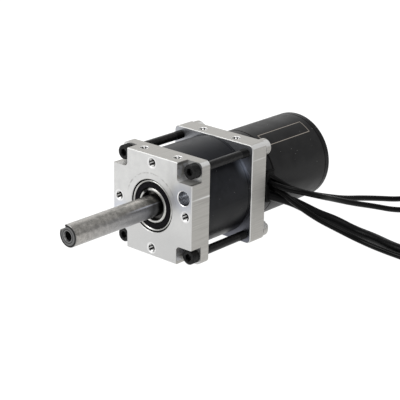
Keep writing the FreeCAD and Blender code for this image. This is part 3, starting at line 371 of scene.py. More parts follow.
reflection_streaks = times(holes, between(holes, turn, GLINT_HALF_TURN, GLINT_HALF_TURN * 1.5),
                between(holes, turn, STREAK_END_TURN, STREAK_END_TURN * 0.7),
                between(holes, depth, *STREAK_DEPTH))
holes.links.new(maths(holes, "MAXIMUM", reflection_streaks, between(holes, depth, *SHADE_DEPTH)),
                holes_out.inputs["PaintedShade"])

plate_metal, tree, shader, coords = finish("milled_aluminium", 0.4, 1.0)
place = coords["Object"]
axes = parts(tree, place)
facing = parts(tree, coords["Normal"])
from_axis = from_shaft_axis(tree, axes)
wide, tall = (maths(tree, "ABSOLUTE", axes[axis]) for axis in "YZ")
turned_to_x = maths(tree, "ABSOLUTE", facing["X"])
is_face = between(tree, turned_to_x, *FLAT_LIMITS)
off_slant = away(tree, turned_to_x, SLANT)

cloud = between(tree, noise(tree, place, 170, 4.0, 0.6), 0.35, 0.65)
worn_through = between(tree, noise(tree, place, 420, 2.0), 0.40, 0.66)
off_ring = away(tree, from_axis, RUB_RING_RADIUS)
rubbed = times(tree, between(tree, off_ring, RUB_RING_WIDTH, RUB_RING_WIDTH / 3), worn_through,
               between(tree, axes["Z"], *RUB_RING_Z))
# Painted shade, darker towards the bottom of the face.
low_face_shade = between(tree, axes["Z"], *LOW_FACE_SHADE_Z)
same_side = times(tree, axes["Z"], maths(tree, "SIGN", axes["Y"]))
from_plain = hypotenuse(tree, minus(tree, wide, PLAIN_HOLE_Y), minus(tree, same_side, PLAIN_HOLE_Z))
# Painted reflection: the face is bluer round the plain holes.
halo_reflection = between(tree, from_plain, PLAIN_HALO_RADIUS, PLAIN_HOLE_RADIUS)
face_colour = mixed(tree, cloud, FACE_CLOUD_COLOUR, FACE_COLOUR)
face_colour = mixed(tree, times(tree, rubbed, 0.75), face_colour, RUB_RING_COLOUR)
face_colour = mixed(tree, times(tree, low_face_shade, 0.8), face_colour, LOW_FACE_SHADE_COLOUR)
face_colour = mixed(tree, times(tree, halo_reflection, 0.6), face_colour, PLAIN_HALO_REFLECTION_COLOUR)

side_lines = lines_along(tree, place, (35, 1400, 1400))
scratches = between(tree, noise(tree, stretched(tree, place, (14, 260, 260)), 1.0, 1.0), 0.70, 0.74)
# Painted highlight along the rounded long corners of the plates.
corner = between(tree, times(tree, facing["Y"], facing["Z"]), *CORNER_LIMITS)
# Sides: real drag lines and scratches on a colour painted darker as painted shade.
shaded_side_colour = mixed(tree, side_lines, SIDE_LINE_COLOUR, SHADED_SIDE_COLOUR)
shaded_side_colour = mixed(tree, scratches, shaded_side_colour, SCRATCH_COLOUR)
shaded_side_colour = mixed(tree, corner, shaded_side_colour, CORNER_HIGHLIGHT_COLOUR)
plate_colour = mixed(tree, is_face, shaded_side_colour, face_colour)

# Painted reflection of the dark barrel on the rear plate's front face, darker towards the bottom as
# painted shade.
inner_face = times(tree, between(tree, facing["X"], *FLAT_LIMITS),
                   between(tree, axes["X"], INNER_FACE_X, INNER_FACE_X - 0.001))
inner_reflection_colour = mixed(tree, between(tree, axes["Z"], *INNER_FACE_Z), INNER_LOW_SHADE_COLOUR,
                     INNER_FACE_REFLECTION_COLOUR)
in_plain = inside(tree, from_plain, PLAIN_HOLE_RADIUS)
near, far = (maths(tree, operation, wide, tall) for operation in ("MINIMUM", "MAXIMUM"))
in_notch = times(tree, between(tree, near, NOTCH_START, NOTCH_START + NOTCH_WALL),
                 between(tree, far, NOTCH_END, NOTCH_END - NOTCH_WALL),
                 between(tree, axes["X"], NOTCH_XS[0], NOTCH_XS[0] - NOTCH_WALL),
                 between(tree, axes["X"], NOTCH_XS[1], NOTCH_XS[1] + NOTCH_WALL))
# Painted reflection and shade on the notch walls: random dark patches, stronger on faces turned down.
notch_reflection = times(tree, between(tree, noise(tree, place, 260, 2.0), 0.42, 0.56),
                maths(tree, "MULTIPLY_ADD", facing["Z"], -0.7, 0.8))
plate_colour = mixed(tree, inner_face, plate_colour, inner_reflection_colour)
plate_colour = mixed(tree, in_plain, plate_colour, PLAIN_HOLE_COLOUR)
plate_colour = mixed(tree, times(tree, in_notch, notch_reflection), plate_colour, NOTCH_REFLECTION_COLOUR)

tapped = placed(tree, holes, {"Place": place, "Facing": coords["Normal"]})
# Painted highlight, white, on the chamfered rims of the plain and tapped holes.
rim = maths(tree, "MAXIMUM", between(tree, from_plain, PLAIN_RIM_RADIUS, PLAIN_RIM_RADIUS - 0.0003),
            between(tree, tapped["Distance"], TAPPED_RIM_RADIUS, TAPPED_RIM_RADIUS - 0.0002))
rim_highlight = times(tree, rim, between(tree, off_slant, *RIM_LEAN))
# Painted highlight on the broken edges between face and sides.
plate_colour = mixed(tree, between(tree, off_slant, *EDGE_LEAN), plate_colour, EDGE_HIGHLIGHT_COLOUR)
plate_colour = mixed(tree, rim_highlight, plate_colour, RIM_HIGHLIGHT_COLOUR)
# Painted shade in the bearing seat and in the tapped holes, with painted reflection streaks on the tapped
# walls.
painted_shade = maths(tree, "MAXIMUM", inside(tree, from_axis, SEAT_RIM_RADIUS),
             times(tree, inside(tree, tapped["Distance"], TAPPED_WALL_RADIUS), tapped["PaintedShade"]))

smooth = maths(tree, "MAXIMUM", in_plain, times(tree, in_notch, 0.5))
roughness = maths(tree, "MULTIPLY_ADD", side_lines, 0.12, 0.40)
roughness = minus(tree, roughness, times(tree, is_face, 0.04))
roughness = minus(tree, roughness, times(tree, smooth, 0.2))
wire_up(tree, shader, Base_Color=mixed(tree, painted_shade, plate_colour, PAINTED_SHADE_COLOUR),
        Roughness=roughness, Metallic=maths(tree, "MULTIPLY_ADD", in_notch, -NOTCH_FILM, 1.0),
        Normal=bump(tree, blended(tree, is_face, side_lines, cloud), 0.000012))
dress(plate_metal, "front_plate", "rear_plate")

# ---- threads in the plates -------------------------------------------------
# Metric coarse threads, tapped in the four face holes and in the side holes.
# Each is one helical rib on the wall of its hole.
TAPPED_RADIUS = 0.0024
BASE_TAPPED_RADIUS = 0.0026
THREAD_PITCH = 0.0008
THREAD_DEPTH = 0.00034
THREAD_STEPS = 40
THREAD_COVER = 0.00005          # how far the root of a rib is let into the wall
FACE_THREAD_TURNS = 11
SIDE_THREAD_TURNS = 8
THREAD_COLOUR = (0.80, 0.80, 0.79, 1)
THREAD_PALE_COLOUR = (0.97, 0.97, 0.96, 1)
MOUTH = 0.0004                  # the first rib starts below the chamfer
QUARTER_TURN = math.radians(90)


def thread_rib(mesh, radius, crest_radius, turns, into_metal):
    """Helical rib about X from x = 0 to -X; into_metal hides its root in the wall."""
    corners = [(-turn * THREAD_PITCH, radius + into_metal) for turn in range(turns + 1)]
    for turn in range(turns, 0, -1):
        x = -turn * THREAD_PITCH
        corners += [(x, radius), (x + 0.5 * THREAD_PITCH, crest_radius)]
    corners.append((0, radius))
    verts = [mesh.verts.new((x, r, 0)) for x, r in corners]
    edges = [mesh.edges.new(pair) for pair in zip(verts, verts[1:] + verts[:1])]
    bmesh.ops.spin(mesh, geom=verts + edges, cent=(0, 0, 0), axis=(-1, 0, 0),
                   dvec=(-THREAD_PITCH / THREAD_STEPS, 0, 0), angle=2 * math.pi,
                   steps=THREAD_STEPS, use_merge=False, use_duplicate=False)
    bmesh.ops.remove_doubles(mesh, verts=mesh.verts, dist=0.000002)
    bmesh.ops.holes_fill(mesh, edges=[edge for edge in mesh.edges if edge.is_boundary], sides=0)
    bmesh.ops.recalc_face_normals(mesh, faces=mesh.faces)


def tapped_rib(radius, turns):
    """New mesh with the rib of an inside thread."""
    mesh = bmesh.new()
    thread_rib(mesh, radius, radius - THREAD_DEPTH, turns, THREAD_COVER)
    return mesh


def as_piece(mesh, name, body, material):
    """Finish a bmesh as one object that rides on a body."""
    data = bpy.data.meshes.new(name)
    mesh.to_mesh(data)
    mesh.free()
    data.materials.append(material)
    piece = bpy.data.objects.new(name, data)
    bpy.context.scene.collection.objects.link(piece)
    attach(piece, body)
    return piece


def set_in(whole, part, turn, place):
    """Copy a mesh into another, turned and then moved to its place."""
    data = bpy.data.meshes.new("loose")
    part.to_mesh(data)
    first = len(whole.verts)
    whole.from_mesh(data)
    whole.verts.ensure_lookup_table()
    bmesh.ops.transform(whole, matrix=Matrix.Translation(place) @ turn, verts=whole.verts[first:])
    bpy.data.meshes.remove(data)


face_thread = tapped_rib(TAPPED_RADIUS, FACE_THREAD_TURNS)
side_thread = tapped_rib(TAPPED_RADIUS, SIDE_THREAD_TURNS)
base_thread = tapped_rib(BASE_TAPPED_RADIUS, SIDE_THREAD_TURNS)
threads = bmesh.new()
for quarter in range(4):
    angle = quarter * QUARTER_TURN
    set_in(threads, face_thread, Matrix.Identity(4),
           (-MOUTH, FACE_CIRCLE_RADIUS * math.cos(angle), FACE_CIRCLE_RADIUS * math.sin(angle)))
for x in SIDE_HOLE_XS:
    for y in (-SIDE_HOLE_Y, SIDE_HOLE_Y):
        set_in(threads, side_thread, Matrix.Rotation(-QUARTER_TURN, 4, "Y"),
               (x, y, plate_high[2] - MOUTH))
        set_in(threads, base_thread, Matrix.Rotation(QUARTER_TURN, 4, "Y"),
               (x, y, MOUTH - plate_high[2]))
for part in (face_thread, side_thread, base_thread):
    part.free()

thread_metal, tree, shader, coords = finish("cut_thread", 0.25, 1.0)
thread_tone = between(tree, noise(tree, coords["Object"], 2500), 0.3, 0.7)
# Painted shade and painted reflection streaks of the tapped holes darken the threads too.
thread_shade = placed(tree, holes, {"Place": coords["Object"], "Facing": coords["Normal"]})["PaintedShade"]
thread_colour = mixed(tree, thread_tone, THREAD_COLOUR, THREAD_PALE_COLOUR)
wire_up(tree, shader, Base_Color=mixed(tree, thread_shade, thread_colour, PAINTED_SHADE_COLOUR))
as_piece(threads, "plate_threads", "housing", thread_metal)

# ---- output bearings -------------------------------------------------------
# Two sealed deep-groove ball bearings pressed in the front plate. Rings and
# balls are ground bearing steel, the seals are nitrile rubber on a steel disc.
# Painted shade darkens the bores, the outer rims and the edges of the seals, and a
# painted dark reflection lies on the inner ring.
BEARING_BORE = 0.0086
BORE_CORNER = 0.0088
RIM_CORNER = 0.0147
BEARING_RIM = 0.0149
SHADE_SPOT = (-0.0052, 0.0083)    # painted dark reflection on the inner ring, away from the leads
SHADE_SPOT_RADIUS = 0.0032
RING_COLOUR = (0.50, 0.50, 0.49, 1)
RING_PALE_COLOUR = (0.68, 0.68, 0.66, 1)
RING_STAIN_COLOUR = (0.40, 0.38, 0.34, 1)
ground_steel, tree, shader, coords = finish("ground_bearing_steel", 0.35, 1.0)
place = coords["Object"]
turning = lines_along(tree, place, (9000, 60, 60))
stain = between(tree, noise(tree, place, 350), 0.35, 0.7)
axes = parts(tree, place)
from_axis = from_shaft_axis(tree, axes)
from_shade_spot = hypotenuse(tree, minus(tree, axes["Y"], SHADE_SPOT[0]), minus(tree, axes["Z"], SHADE_SPOT[1]))
# Painted shade in the bore and round the outer rim, and a painted dark reflection spot on the inner ring.
painted_shade = maths(tree, "MAXIMUM", between(tree, from_axis, BORE_CORNER, BEARING_BORE),
             between(tree, from_axis, RIM_CORNER, BEARING_RIM))
painted_shade = maths(tree, "MAXIMUM", painted_shade, between(tree, from_shade_spot, SHADE_SPOT_RADIUS, SHADE_SPOT_RADIUS / 2))
ring_colour = mixed(tree, turning, RING_COLOUR, RING_PALE_COLOUR)
ring_colour = mixed(tree, times(tree, stain, 0.4), ring_colour, RING_STAIN_COLOUR)
wire_up(tree, shader, Base_Color=mixed(tree, painted_shade, ring_colour, PAINTED_SHADE_COLOUR),
        Roughness=maths(tree, "MULTIPLY_ADD", stain, 0.12, 0.32),
        Normal=bump(tree, turning, 0.000002))
dress(ground_steel, "front_bearing_outer_race", "front_bearing_inner_race",
      "rear_bearing_outer_race", "rear_bearing_inner_race",
      "front_bearing_balls", "rear_bearing_balls")

SEAL_MIDDLE = 0.0121
SEAL_UNSHADED_HALF = 0.0009        # painted shade darkens the rubber beyond this distance from its middle
SEAL_COLOUR = (0.0075, 0.0065, 0.009, 1)
SEAL_EDGE_SHADE_COLOUR = (0.001, 0.001, 0.001, 1)
DUSTY_COLOUR = (0.030, 0.029, 0.028, 1)
seal_rubber, tree, shader, coords = finish("nitrile_seal", 0.5, specular=0.06)
place = coords["Object"]
pores = noise(tree, place, 5000, 2.0)
dusty = between(tree, noise(tree, place, 420, 5.0, 0.7), 0.52, 0.75)
off_middle = away(tree, from_shaft_axis(tree, parts(tree, place)), SEAL_MIDDLE)
# Painted shade in the gaps at the seal's inner and outer edges.
seal_edge_shade = between(tree, off_middle, SEAL_UNSHADED_HALF, SEAL_UNSHADED_HALF + 0.0003)
seal_colour = mixed(tree, times(tree, dusty, 0.3), SEAL_COLOUR, DUSTY_COLOUR)
wire_up(tree, shader, Base_Color=mixed(tree, seal_edge_shade, seal_colour, SEAL_EDGE_SHADE_COLOUR),
        Roughness=maths(tree, "MULTIPLY_ADD", pores, 0.2, 0.38),
        Normal=bump(tree, pores, 0.000008))
dress(seal_rubber, "front_bearing_seal", "rear_bearing_seal")

NYLON_COLOUR = (0.42, 0.36, 0.24, 1)
NYLON_PALE_COLOUR = (0.52, 0.46, 0.33, 1)
cage_nylon, tree, shader, coords = finish("cage_nylon", 0.45)
mould_tone = noise(tree, coords["Object"], 900)
wire_up(tree, shader, Base_Color=mixed(tree, mould_tone, NYLON_COLOUR, NYLON_PALE_COLOUR),
        Normal=bump(tree, mould_tone, 0.00001))
dress(cage_nylon, "front_bearing_cage", "rear_bearing_cage")

# ---- output shaft ----------------------------------------------------------
# Half-inch shaft of ground carbon steel with a milled keyway and a tapped end,
# mottled by handling. Painted shade darkens it towards and into the bearing, a
# painted highlight runs along it in one line with a painted cool shade below,
# and the end face is turned in rings, partly painted reflection and shade, with
# painted shade on one side and in its hole.
SHAFT_COLOUR = (0.33, 0.32, 0.30, 1)
SHAFT_COOL_SHADE_COLOUR = (0.31, 0.315, 0.335, 1)
SHAFT_DARK_COLOUR = (0.15, 0.14, 0.13, 1)
SHAFT_RUB_COLOUR = (0.58, 0.56, 0.53, 1)
SHAFT_BEARING_SHADE_COLOUR = (0.035, 0.033, 0.03, 1)
BEARING_SHADE_XS = (0.006, 0.001, -0.0015)
# Painted highlight: one bright line along the shaft.
HIGHLIGHT_LINE_COLOUR = (0.90, 0.92, 1.0, 1)
HIGHLIGHT_LINE_TURN = math.radians(33)
HIGHLIGHT_LINE_WIDTH = 0.0006
HIGHLIGHT_LINE_X = (0.026, 0.008)     # it fades towards the end
COOL_SHADE_X = (0.060, 0.010)         # below the line the steel carries a painted cool shade
COOL_SHADE_ACROSS = (-0.0006, 0.0012)
# Painted shade on the -Y side of the end face, beyond a radius.
END_SIDE_SHADE_COLOUR = (0.006, 0.006, 0.006, 1)
END_SIDE_SHADE_RADIUS = (0.0048, 0.0052)
END_SIDE_SHADE_Y = (-0.0005, -0.0030)
END_HOLE_RADIUS = (0.0034, 0.0032)
# Greys of the end face by radius: turned rings, partly painted reflection and painted shade, near black
# as painted shade in the tapped hole.
END_RINGS = ((0.0, 0.002), (2.55, 0.004), (2.75, 0.26), (3.3, 0.20), (3.6, 0.05), (3.9, 0.05),
             (4.2, 0.15), (5.0, 0.15), (5.4, 0.02), (6.0, 0.02), (6.3, 0.22))
END_RING_UNIT = 0.001
SHAFT_THREAD_RADIUS = 0.0025
SHAFT_THREAD_TURNS = 16
SHAFT_THREAD_START = 0.0014     # behind the countersink
end_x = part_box("output_shaft")[1][0]


def stepped(tree, value, stops):
    """Grey that follows a value in steps of (place, level), both in the stops' own units."""
    ramp = add(tree, "ValToRGB", {"Fac": maths(tree, "DIVIDE", value, stops[-1][0])})
    elements = ramp.color_ramp.elements
    elements.remove(elements[1])
    for number, (position, level) in enumerate(stops):
        element = elements.new(position / stops[-1][0]) if number else elements[0]
        element.position = position / stops[-1][0]
        element.color = (level, level, level, 1)
    return ramp.outputs["Color"]


shaft_steel, tree, shader, coords = finish("mottled_shaft_steel", 0.36, 1.0)
place = coords["Object"]
axes = parts(tree, place)
from_axis = from_shaft_axis(tree, axes)
grinding = lines_along(tree, place, (5200, 90, 90))
patches = between(tree, noise(tree, place, 360, 5.0, 0.62), 0.40, 0.66)
freckles = between(tree, noise(tree, place, 1500, 2.0), 0.60, 0.70)
# Painted shade, darker towards and into the bearing.
bearing_shade = maths(tree, "ADD", times(tree, between(tree, axes["X"], *BEARING_SHADE_XS[:2]), 0.3),
              times(tree, between(tree, axes["X"], *BEARING_SHADE_XS[1:]), 0.6))
across_line = minus(tree, times(tree, axes["Y"], math.sin(HIGHLIGHT_LINE_TURN)),
                    times(tree, axes["Z"], math.cos(HIGHLIGHT_LINE_TURN)))
off_line = maths(tree, "ABSOLUTE", across_line)
# Painted highlight line along the shaft, fading towards the end.
highlight_line = times(tree, between(tree, off_line, HIGHLIGHT_LINE_WIDTH, HIGHLIGHT_LINE_WIDTH / 3),
                 between(tree, axes["X"], *HIGHLIGHT_LINE_X), between(tree, axes["Y"], 0.0, 0.001))
# Painted cool shade on the side of the shaft below the highlight line.
cool_shade_below = times(tree, between(tree, across_line, *COOL_SHADE_ACROSS), between(tree, axes["X"], *COOL_SHADE_X))
shaft_colour = mixed(tree, patches, SHAFT_COLOUR, SHAFT_RUB_COLOUR)
shaft_colour = mixed(tree, cool_shade_below, shaft_colour, SHAFT_COOL_SHADE_COLOUR)
shaft_colour = mixed(tree, times(tree, grinding, 0.35), shaft_colour, SHAFT_DARK_COLOUR)
shaft_colour = mixed(tree, times(tree, freckles, 0.6), shaft_colour, SHAFT_DARK_COLOUR)
shaft_colour = mixed(tree, highlight_line, shaft_colour, HIGHLIGHT_LINE_COLOUR)
shaft_colour = mixed(tree, bearing_shade, shaft_colour, SHAFT_BEARING_SHADE_COLOUR)
# Painted shade on one side of the end face.
end_side_shade = times(tree, between(tree, axes["Y"], *END_SIDE_SHADE_Y),
               between(tree, from_axis, *END_SIDE_SHADE_RADIUS))
end_rings = stepped(tree, times(tree, from_axis, 1 / END_RING_UNIT), END_RINGS)
end_colour = mixed(tree, end_side_shade, end_rings, END_SIDE_SHADE_COLOUR)
is_end = maths(tree, "MAXIMUM", between(tree, axes["X"], end_x - 0.0005, end_x - 0.0002),
               between(tree, from_axis, *END_HOLE_RADIUS))
wire_up(tree, shader, Base_Color=mixed(tree, is_end, shaft_colour, end_colour),
        Roughness=maths(tree, "MULTIPLY_ADD", patches, 0.14, 0.30),
        Normal=bump(tree, grinding, 0.000004))
dress(shaft_steel, "output_shaft", "motor_shaft", "stage_1_planet_pins", "stage_2_planet_pins",
      "shaft_circlip")

shaft_thread = tapped_rib(SHAFT_THREAD_RADIUS, SHAFT_THREAD_TURNS)
bmesh.ops.translate(shaft_thread, vec=(end_x - SHAFT_THREAD_START, 0, 0), verts=shaft_thread.verts)
as_piece(shaft_thread, "shaft_end_thread", "output", shaft_steel)

# ---- planetary gears -------------------------------------------------------
# Hobbed spur gears of case-hardened steel on two carriers, run in a film of
# grease that pools between the teeth.
GEAR_COLOUR = (0.42, 0.42, 0.43, 1)
GEAR_DARK_COLOUR = (0.26, 0.26, 0.27, 1)
GREASE_COLOUR = (0.30, 0.20, 0.07, 1)
gear_steel, tree, shader, coords = finish("hobbed_gear_steel", 0.32, 1.0)
place = coords["Object"]
feed = lines_along(tree, place, (60, 2600, 2600))
greasy = between(tree, noise(tree, place, 260, 4.0, 0.6), 0.50, 0.66)
gear_colour = mixed(tree, feed, GEAR_DARK_COLOUR, GEAR_COLOUR)
wire_up(tree, shader, Base_Color=mixed(tree, times(tree, greasy, 0.55), gear_colour, GREASE_COLOUR),
        Roughness=minus(tree, 0.38, times(tree, greasy, 0.2)),
        Normal=bump(tree, feed, 0.000004))
dress(gear_steel, "output_carrier", "carrier_1", "stage_2_sun", "sun_pinion",
      *["stage_%d_planet_%d" % (stage, number) for stage in (1, 2) for number in (1, 2, 3)])

# ---- gearbox barrel --------------------------------------------------------
# Steel ring gear in the round, turned outside and stoved satin black. The end
# ring behind it has the same coat.
COAT_COLOUR = (0.010, 0.011, 0.0135, 1)
COAT_PALE_COLOUR = (0.018, 0.019, 0.023, 1)
# Painted shade: the barrel's coat is darker towards the bottom.
COAT_LOW_SHADE_COLOUR = (0.003, 0.003, 0.0035, 1)
COAT_SHADE_Z = (-0.016, 0.010)
SPECK_COLOUR = (0.30, 0.30, 0.29, 1)
SPECK_SHARE = 0.06              # of the cells that hold a dot
SHEEN_COLOUR = (0.27, 0.30, 0.37, 1)
SHEEN_X = (-0.0425, -0.0515)    # a painted bluish reflection lies on the barrel by the upper screws
SHEEN_Z = (0.008, 0.016)
SHEEN_TOP_Z = (0.023, 0.019)

# Lint and dust: sparse pale dots, each in its own cell of a random pattern.
lint, lint_in, lint_out = shader_group(
    "lint", [("Vector", "Vector", (0, 0, 0)), ("Cells", "Float", 700.0), ("Dot", "Float", 0.12)],
    [("Mask", "Float")])
lint_cells = add(lint, "TexVoronoi", {"Vector": lint_in.outputs["Vector"],
                                      "Scale": lint_in.outputs["Cells"]}).outputs
lint_dot = maths(lint, "LESS_THAN", lint_cells["Distance"], lint_in.outputs["Dot"])
lint_draw = add(lint, "SeparateColor", {0: lint_cells["Color"]}).outputs[0]
lint_pick = maths(lint, "GREATER_THAN", lint_draw, 1 - SPECK_SHARE)
lint.links.new(times(lint, lint_dot, lint_pick), lint_out.inputs["Mask"])

# Stoved black: a fine pebble in the coat, cloudy gloss and lint.
stoved, stoved_in, stoved_out = shader_group(
    "stoved_coat",
    [("Vector", "Vector", (0, 0, 0)), ("Dark", "Color", COAT_COLOUR),
     ("Pale", "Color", COAT_PALE_COLOUR), ("Gloss", "Float", 0.36)],
    [("Color", "Color"), ("Roughness", "Float"), ("Height", "Float")])
stoved_vector = stoved_in.outputs["Vector"]
cloudy = between(stoved, noise(stoved, stoved_vector, 120, 4.0, 0.6), 0.35, 0.65)
stoved_colour = mixed(stoved, cloudy, stoved_in.outputs["Dark"], stoved_in.outputs["Pale"])
specks = placed(stoved, lint, {"Vector": stoved_vector})["Mask"]
stoved.links.new(mixed(stoved, specks, stoved_colour, SPECK_COLOUR), stoved_out.inputs["Color"])
stoved.links.new(maths(stoved, "MULTIPLY_ADD", cloudy, 0.1, stoved_in.outputs["Gloss"]),
                 stoved_out.inputs["Roughness"])
stoved.links.new(noise(stoved, stoved_vector, 3800, 2.0), stoved_out.inputs["Height"])

barrel_coat, tree, shader, coords = finish("satin_black_barrel", 0.4, specular=0.12)
coat = placed(tree, stoved, {"Vector": coords["Object"], "Dark": COAT_COLOUR,
                             "Pale": COAT_PALE_COLOUR, "Gloss": 0.34})
axes = parts(tree, coords["Object"])
# Painted sheen: a bluish reflection near the rear plate below the upper screws.
sheen = times(tree, between(tree, axes["X"], *SHEEN_X), between(tree, axes["Z"], *SHEEN_Z))
sheen = times(tree, sheen, sheen, between(tree, axes["Z"], *SHEEN_TOP_Z))
# Painted shade, darker towards the bottom of the barrel.
barrel_colour = mixed(tree, between(tree, axes["Z"], *COAT_SHADE_Z), COAT_LOW_SHADE_COLOUR, coat["Color"])
wire_up(tree, shader, Base_Color=mixed(tree, sheen, barrel_colour, SHEEN_COLOUR),
        Roughness=coat["Roughness"], Normal=bump(tree, coat["Height"], 0.00001))
dress(barrel_coat, "ring_gear_barrel", "end_ring")

# ---- gearbox screws --------------------------------------------------------
# Four long M5 socket screws of blackened steel. They clamp both plates on the
# barrel and end in the lugs of the rear plate, with a short stub behind.
SCREW_HEAD_RADIUS = 0.00425
SCREW_HEAD_LENGTH = 0.005
SCREW_RADIUS = 0.0025
SCREW_ROOT_RADIUS = 0.00215
SCREW_THREAD_LENGTH = 0.0256
SOCKET_CORNER = 0.0023
SOCKET_DEPTH = 0.0026
SOCKET_MOUTH = 0.0027           # round countersink of the hexagon socket
HEAD_SIDES = 48
HEAD_CROWN = 0.0004
END_CHAMFER = 0.0004
THREAD_RUN_OUT = 0.0003
SCREW_TURN = 0.4                # the sockets stand at different angles
OXIDE_COLOUR = (0.005, 0.005, 0.0055, 1)
OXIDE_WORN_COLOUR = (0.026, 0.025, 0.024, 1)
THREAD_OXIDE_COLOUR = (0.001, 0.001, 0.0012, 1)
screws_low, screws_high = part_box("gearbox_screws")
screw_offset = screws_high[1] - SCREW_HEAD_RADIUS
head_front_x = screws_high[0]
seat_x = head_front_x - SCREW_HEAD_LENGTH
thread_x = screws_low[0] + SCREW_THREAD_LENGTH


def turned_shell(mesh, profile, sides):
    """Surface of revolution about X from (x, radius) corners."""
    verts = [mesh.verts.new((x, radius, 0)) for x, radius in profile]
    edges = [mesh.edges.new(pair) for pair in zip(verts, verts[1:])]
    bmesh.ops.spin(mesh, geom=verts + edges, cent=(0, 0, 0), axis=(1, 0, 0), dvec=(0, 0, 0),
                   angle=2 * math.pi, steps=sides, use_merge=True, use_duplicate=False)
    bmesh.ops.remove_doubles(mesh, verts=mesh.verts, dist=0.000001)


screw = bmesh.new()
turned_shell(screw, [(head_front_x, SOCKET_MOUTH), (head_front_x, SCREW_HEAD_RADIUS - HEAD_CROWN),
                     (head_front_x - HEAD_CROWN, SCREW_HEAD_RADIUS), (seat_x, SCREW_HEAD_RADIUS),
                     (seat_x, SCREW_RADIUS), (thread_x, SCREW_RADIUS),
                     (thread_x - THREAD_RUN_OUT, SCREW_ROOT_RADIUS),
                     (screws_low[0] + END_CHAMFER, SCREW_ROOT_RADIUS),
                     (screws_low[0], SCREW_ROOT_RADIUS - END_CHAMFER), (screws_low[0], 0)],
             HEAD_SIDES)
bmesh.ops.recalc_face_normals(screw, faces=screw.faces)
head_sides = [face for face in screw.faces
              if abs(face.normal.x) < 0.1 and face.calc_center_median().x > seat_x]
bmesh.ops.inset_individual(screw, faces=head_sides, thickness=0.00009, depth=-0.0001)
mouth_edges = [edge for edge in screw.edges if edge.is_boundary]
hexagon = bmesh.ops.create_circle(screw, segments=6, radius=SOCKET_CORNER,
                                  matrix=Matrix.Translation((head_front_x - 0.0002, 0, 0))
                                  @ Matrix.Rotation(QUARTER_TURN, 4, "Y"))
hexagon_edges = list({edge for vert in hexagon["verts"] for edge in vert.link_edges})
bmesh.ops.bridge_loops(screw, edges=mouth_edges + hexagon_edges)
walls = bmesh.ops.extrude_edge_only(screw, edges=hexagon_edges)["geom"]
foot = [item for item in walls if isinstance(item, bmesh.types.BMVert)]
bmesh.ops.translate(screw, vec=(-SOCKET_DEPTH, 0, 0), verts=foot)
floor_face = bmesh.ops.contextual_create(screw, geom=foot)["faces"]
bmesh.ops.poke(screw, faces=floor_face, offset=-0.0008)
bmesh.ops.recalc_face_normals(screw, faces=screw.faces)
screw_thread = bmesh.new()
thread_rib(screw_thread, SCREW_ROOT_RADIUS, SCREW_RADIUS + 0.0001,
           int(SCREW_THREAD_LENGTH / THREAD_PITCH) - 1, -THREAD_COVER)
set_in(screw, screw_thread, Matrix.Identity(4), (thread_x, 0, 0))
screw_thread.free()

screws = bmesh.new()
for y in (-screw_offset, screw_offset):
    for z in (-screw_offset, screw_offset):
        turn = Matrix.Rotation(SCREW_TURN * (y + 2 * z) / screw_offset, 4, "X")
        set_in(screws, screw, turn, (0, y, z))
screw.free()

black_oxide, tree, shader, coords = finish("black_oxide", 0.36, specular=0.2)
place = coords["Object"]
worn = between(tree, noise(tree, place, 800, 5.0, 0.65), 0.48, 0.75)
drawn = lines_along(tree, place, (80, 1800, 1800))
shank = between(tree, parts(tree, place)["X"], thread_x, thread_x + 0.0006)
oxide_colour = mixed(tree, times(tree, worn, shank), OXIDE_COLOUR, OXIDE_WORN_COLOUR)
wire_up(tree, shader, Base_Color=mixed(tree, shank, THREAD_OXIDE_COLOUR, oxide_colour),
        Roughness=maths(tree, "MULTIPLY_ADD", drawn, 0.16, 0.28),
        Normal=bump(tree, drawn, 0.000005))
black_screws = as_piece(screws, "socket_screws", "housing", black_oxide)
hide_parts("gearbox_screws")
for polygon in black_screws.data.polygons:
    polygon.use_smooth = False
dress(black_oxide, "motor_screws", "pinion_set_screw")

# ---- motor base ------------------------------------------------------------
# Fixed base of the motor: a turned aluminium casting, anodised black, with
# the tube that carries the stator and both motor bearings.
ANODISED_COLOUR = (0.006, 0.006, 0.0065, 1)
ANODISED_PALE_COLOUR = (0.012, 0.012, 0.013, 1)
black_anodised, tree, shader, coords = finish("black_anodised", 0.38, specular=0.12)
place = coords["Object"]
turning = lines_along(tree, place, (6000, 50, 50))
wire_up(tree, shader, Base_Color=mixed(tree, turning, ANODISED_COLOUR, ANODISED_PALE_COLOUR),
        Roughness=maths(tree, "MULTIPLY_ADD", turning, 0.1, 0.32),
        Normal=bump(tree, turning, 0.000004))
dress(black_anodised, "motor_base", "rotor_end_cap")
dress(ground_steel, "motor_bearing_outer_races", "motor_bearing_inner_races")

# ---- stator ----------------------------------------------------------------
# Stack of half-millimetre electrical steel sheets, with one coil of enamelled
# copper wire round each tooth.
SHEET_THICKNESS = 0.0005
SHEET_GAP_COLOUR = (0.10, 0.10, 0.105, 1)
SHEET_COLOUR = (0.30, 0.30, 0.31, 1)
RUST_COLOUR = (0.22, 0.14, 0.08, 1)
WIRE_THICKNESS = 0.0009
WIRE_COLOUR = (0.66, 0.27, 0.10, 1)
WIRE_DARK_COLOUR = (0.48, 0.15, 0.05, 1)
WIRE_GAP_SHADE_COLOUR = (0.08, 0.025, 0.012, 1)
core_steel, tree, shader, coords = finish("laminated_core", 0.42, 0.8)
sheet_phase = times(tree, parts(tree, coords["Object"])["X"], 2 * math.pi / SHEET_THICKNESS)
sheet = between(tree, maths(tree, "SINE", sheet_phase), -0.9, 0.2)
rust = between(tree, noise(tree, coords["Object"], 500, 4.0), 0.55, 0.75)
core_colour = mixed(tree, sheet, SHEET_GAP_COLOUR, SHEET_COLOUR)
wire_up(tree, shader, Base_Color=mixed(tree, times(tree, rust, 0.4), core_colour, RUST_COLOUR),
        Normal=bump(tree, sheet, 0.00003))
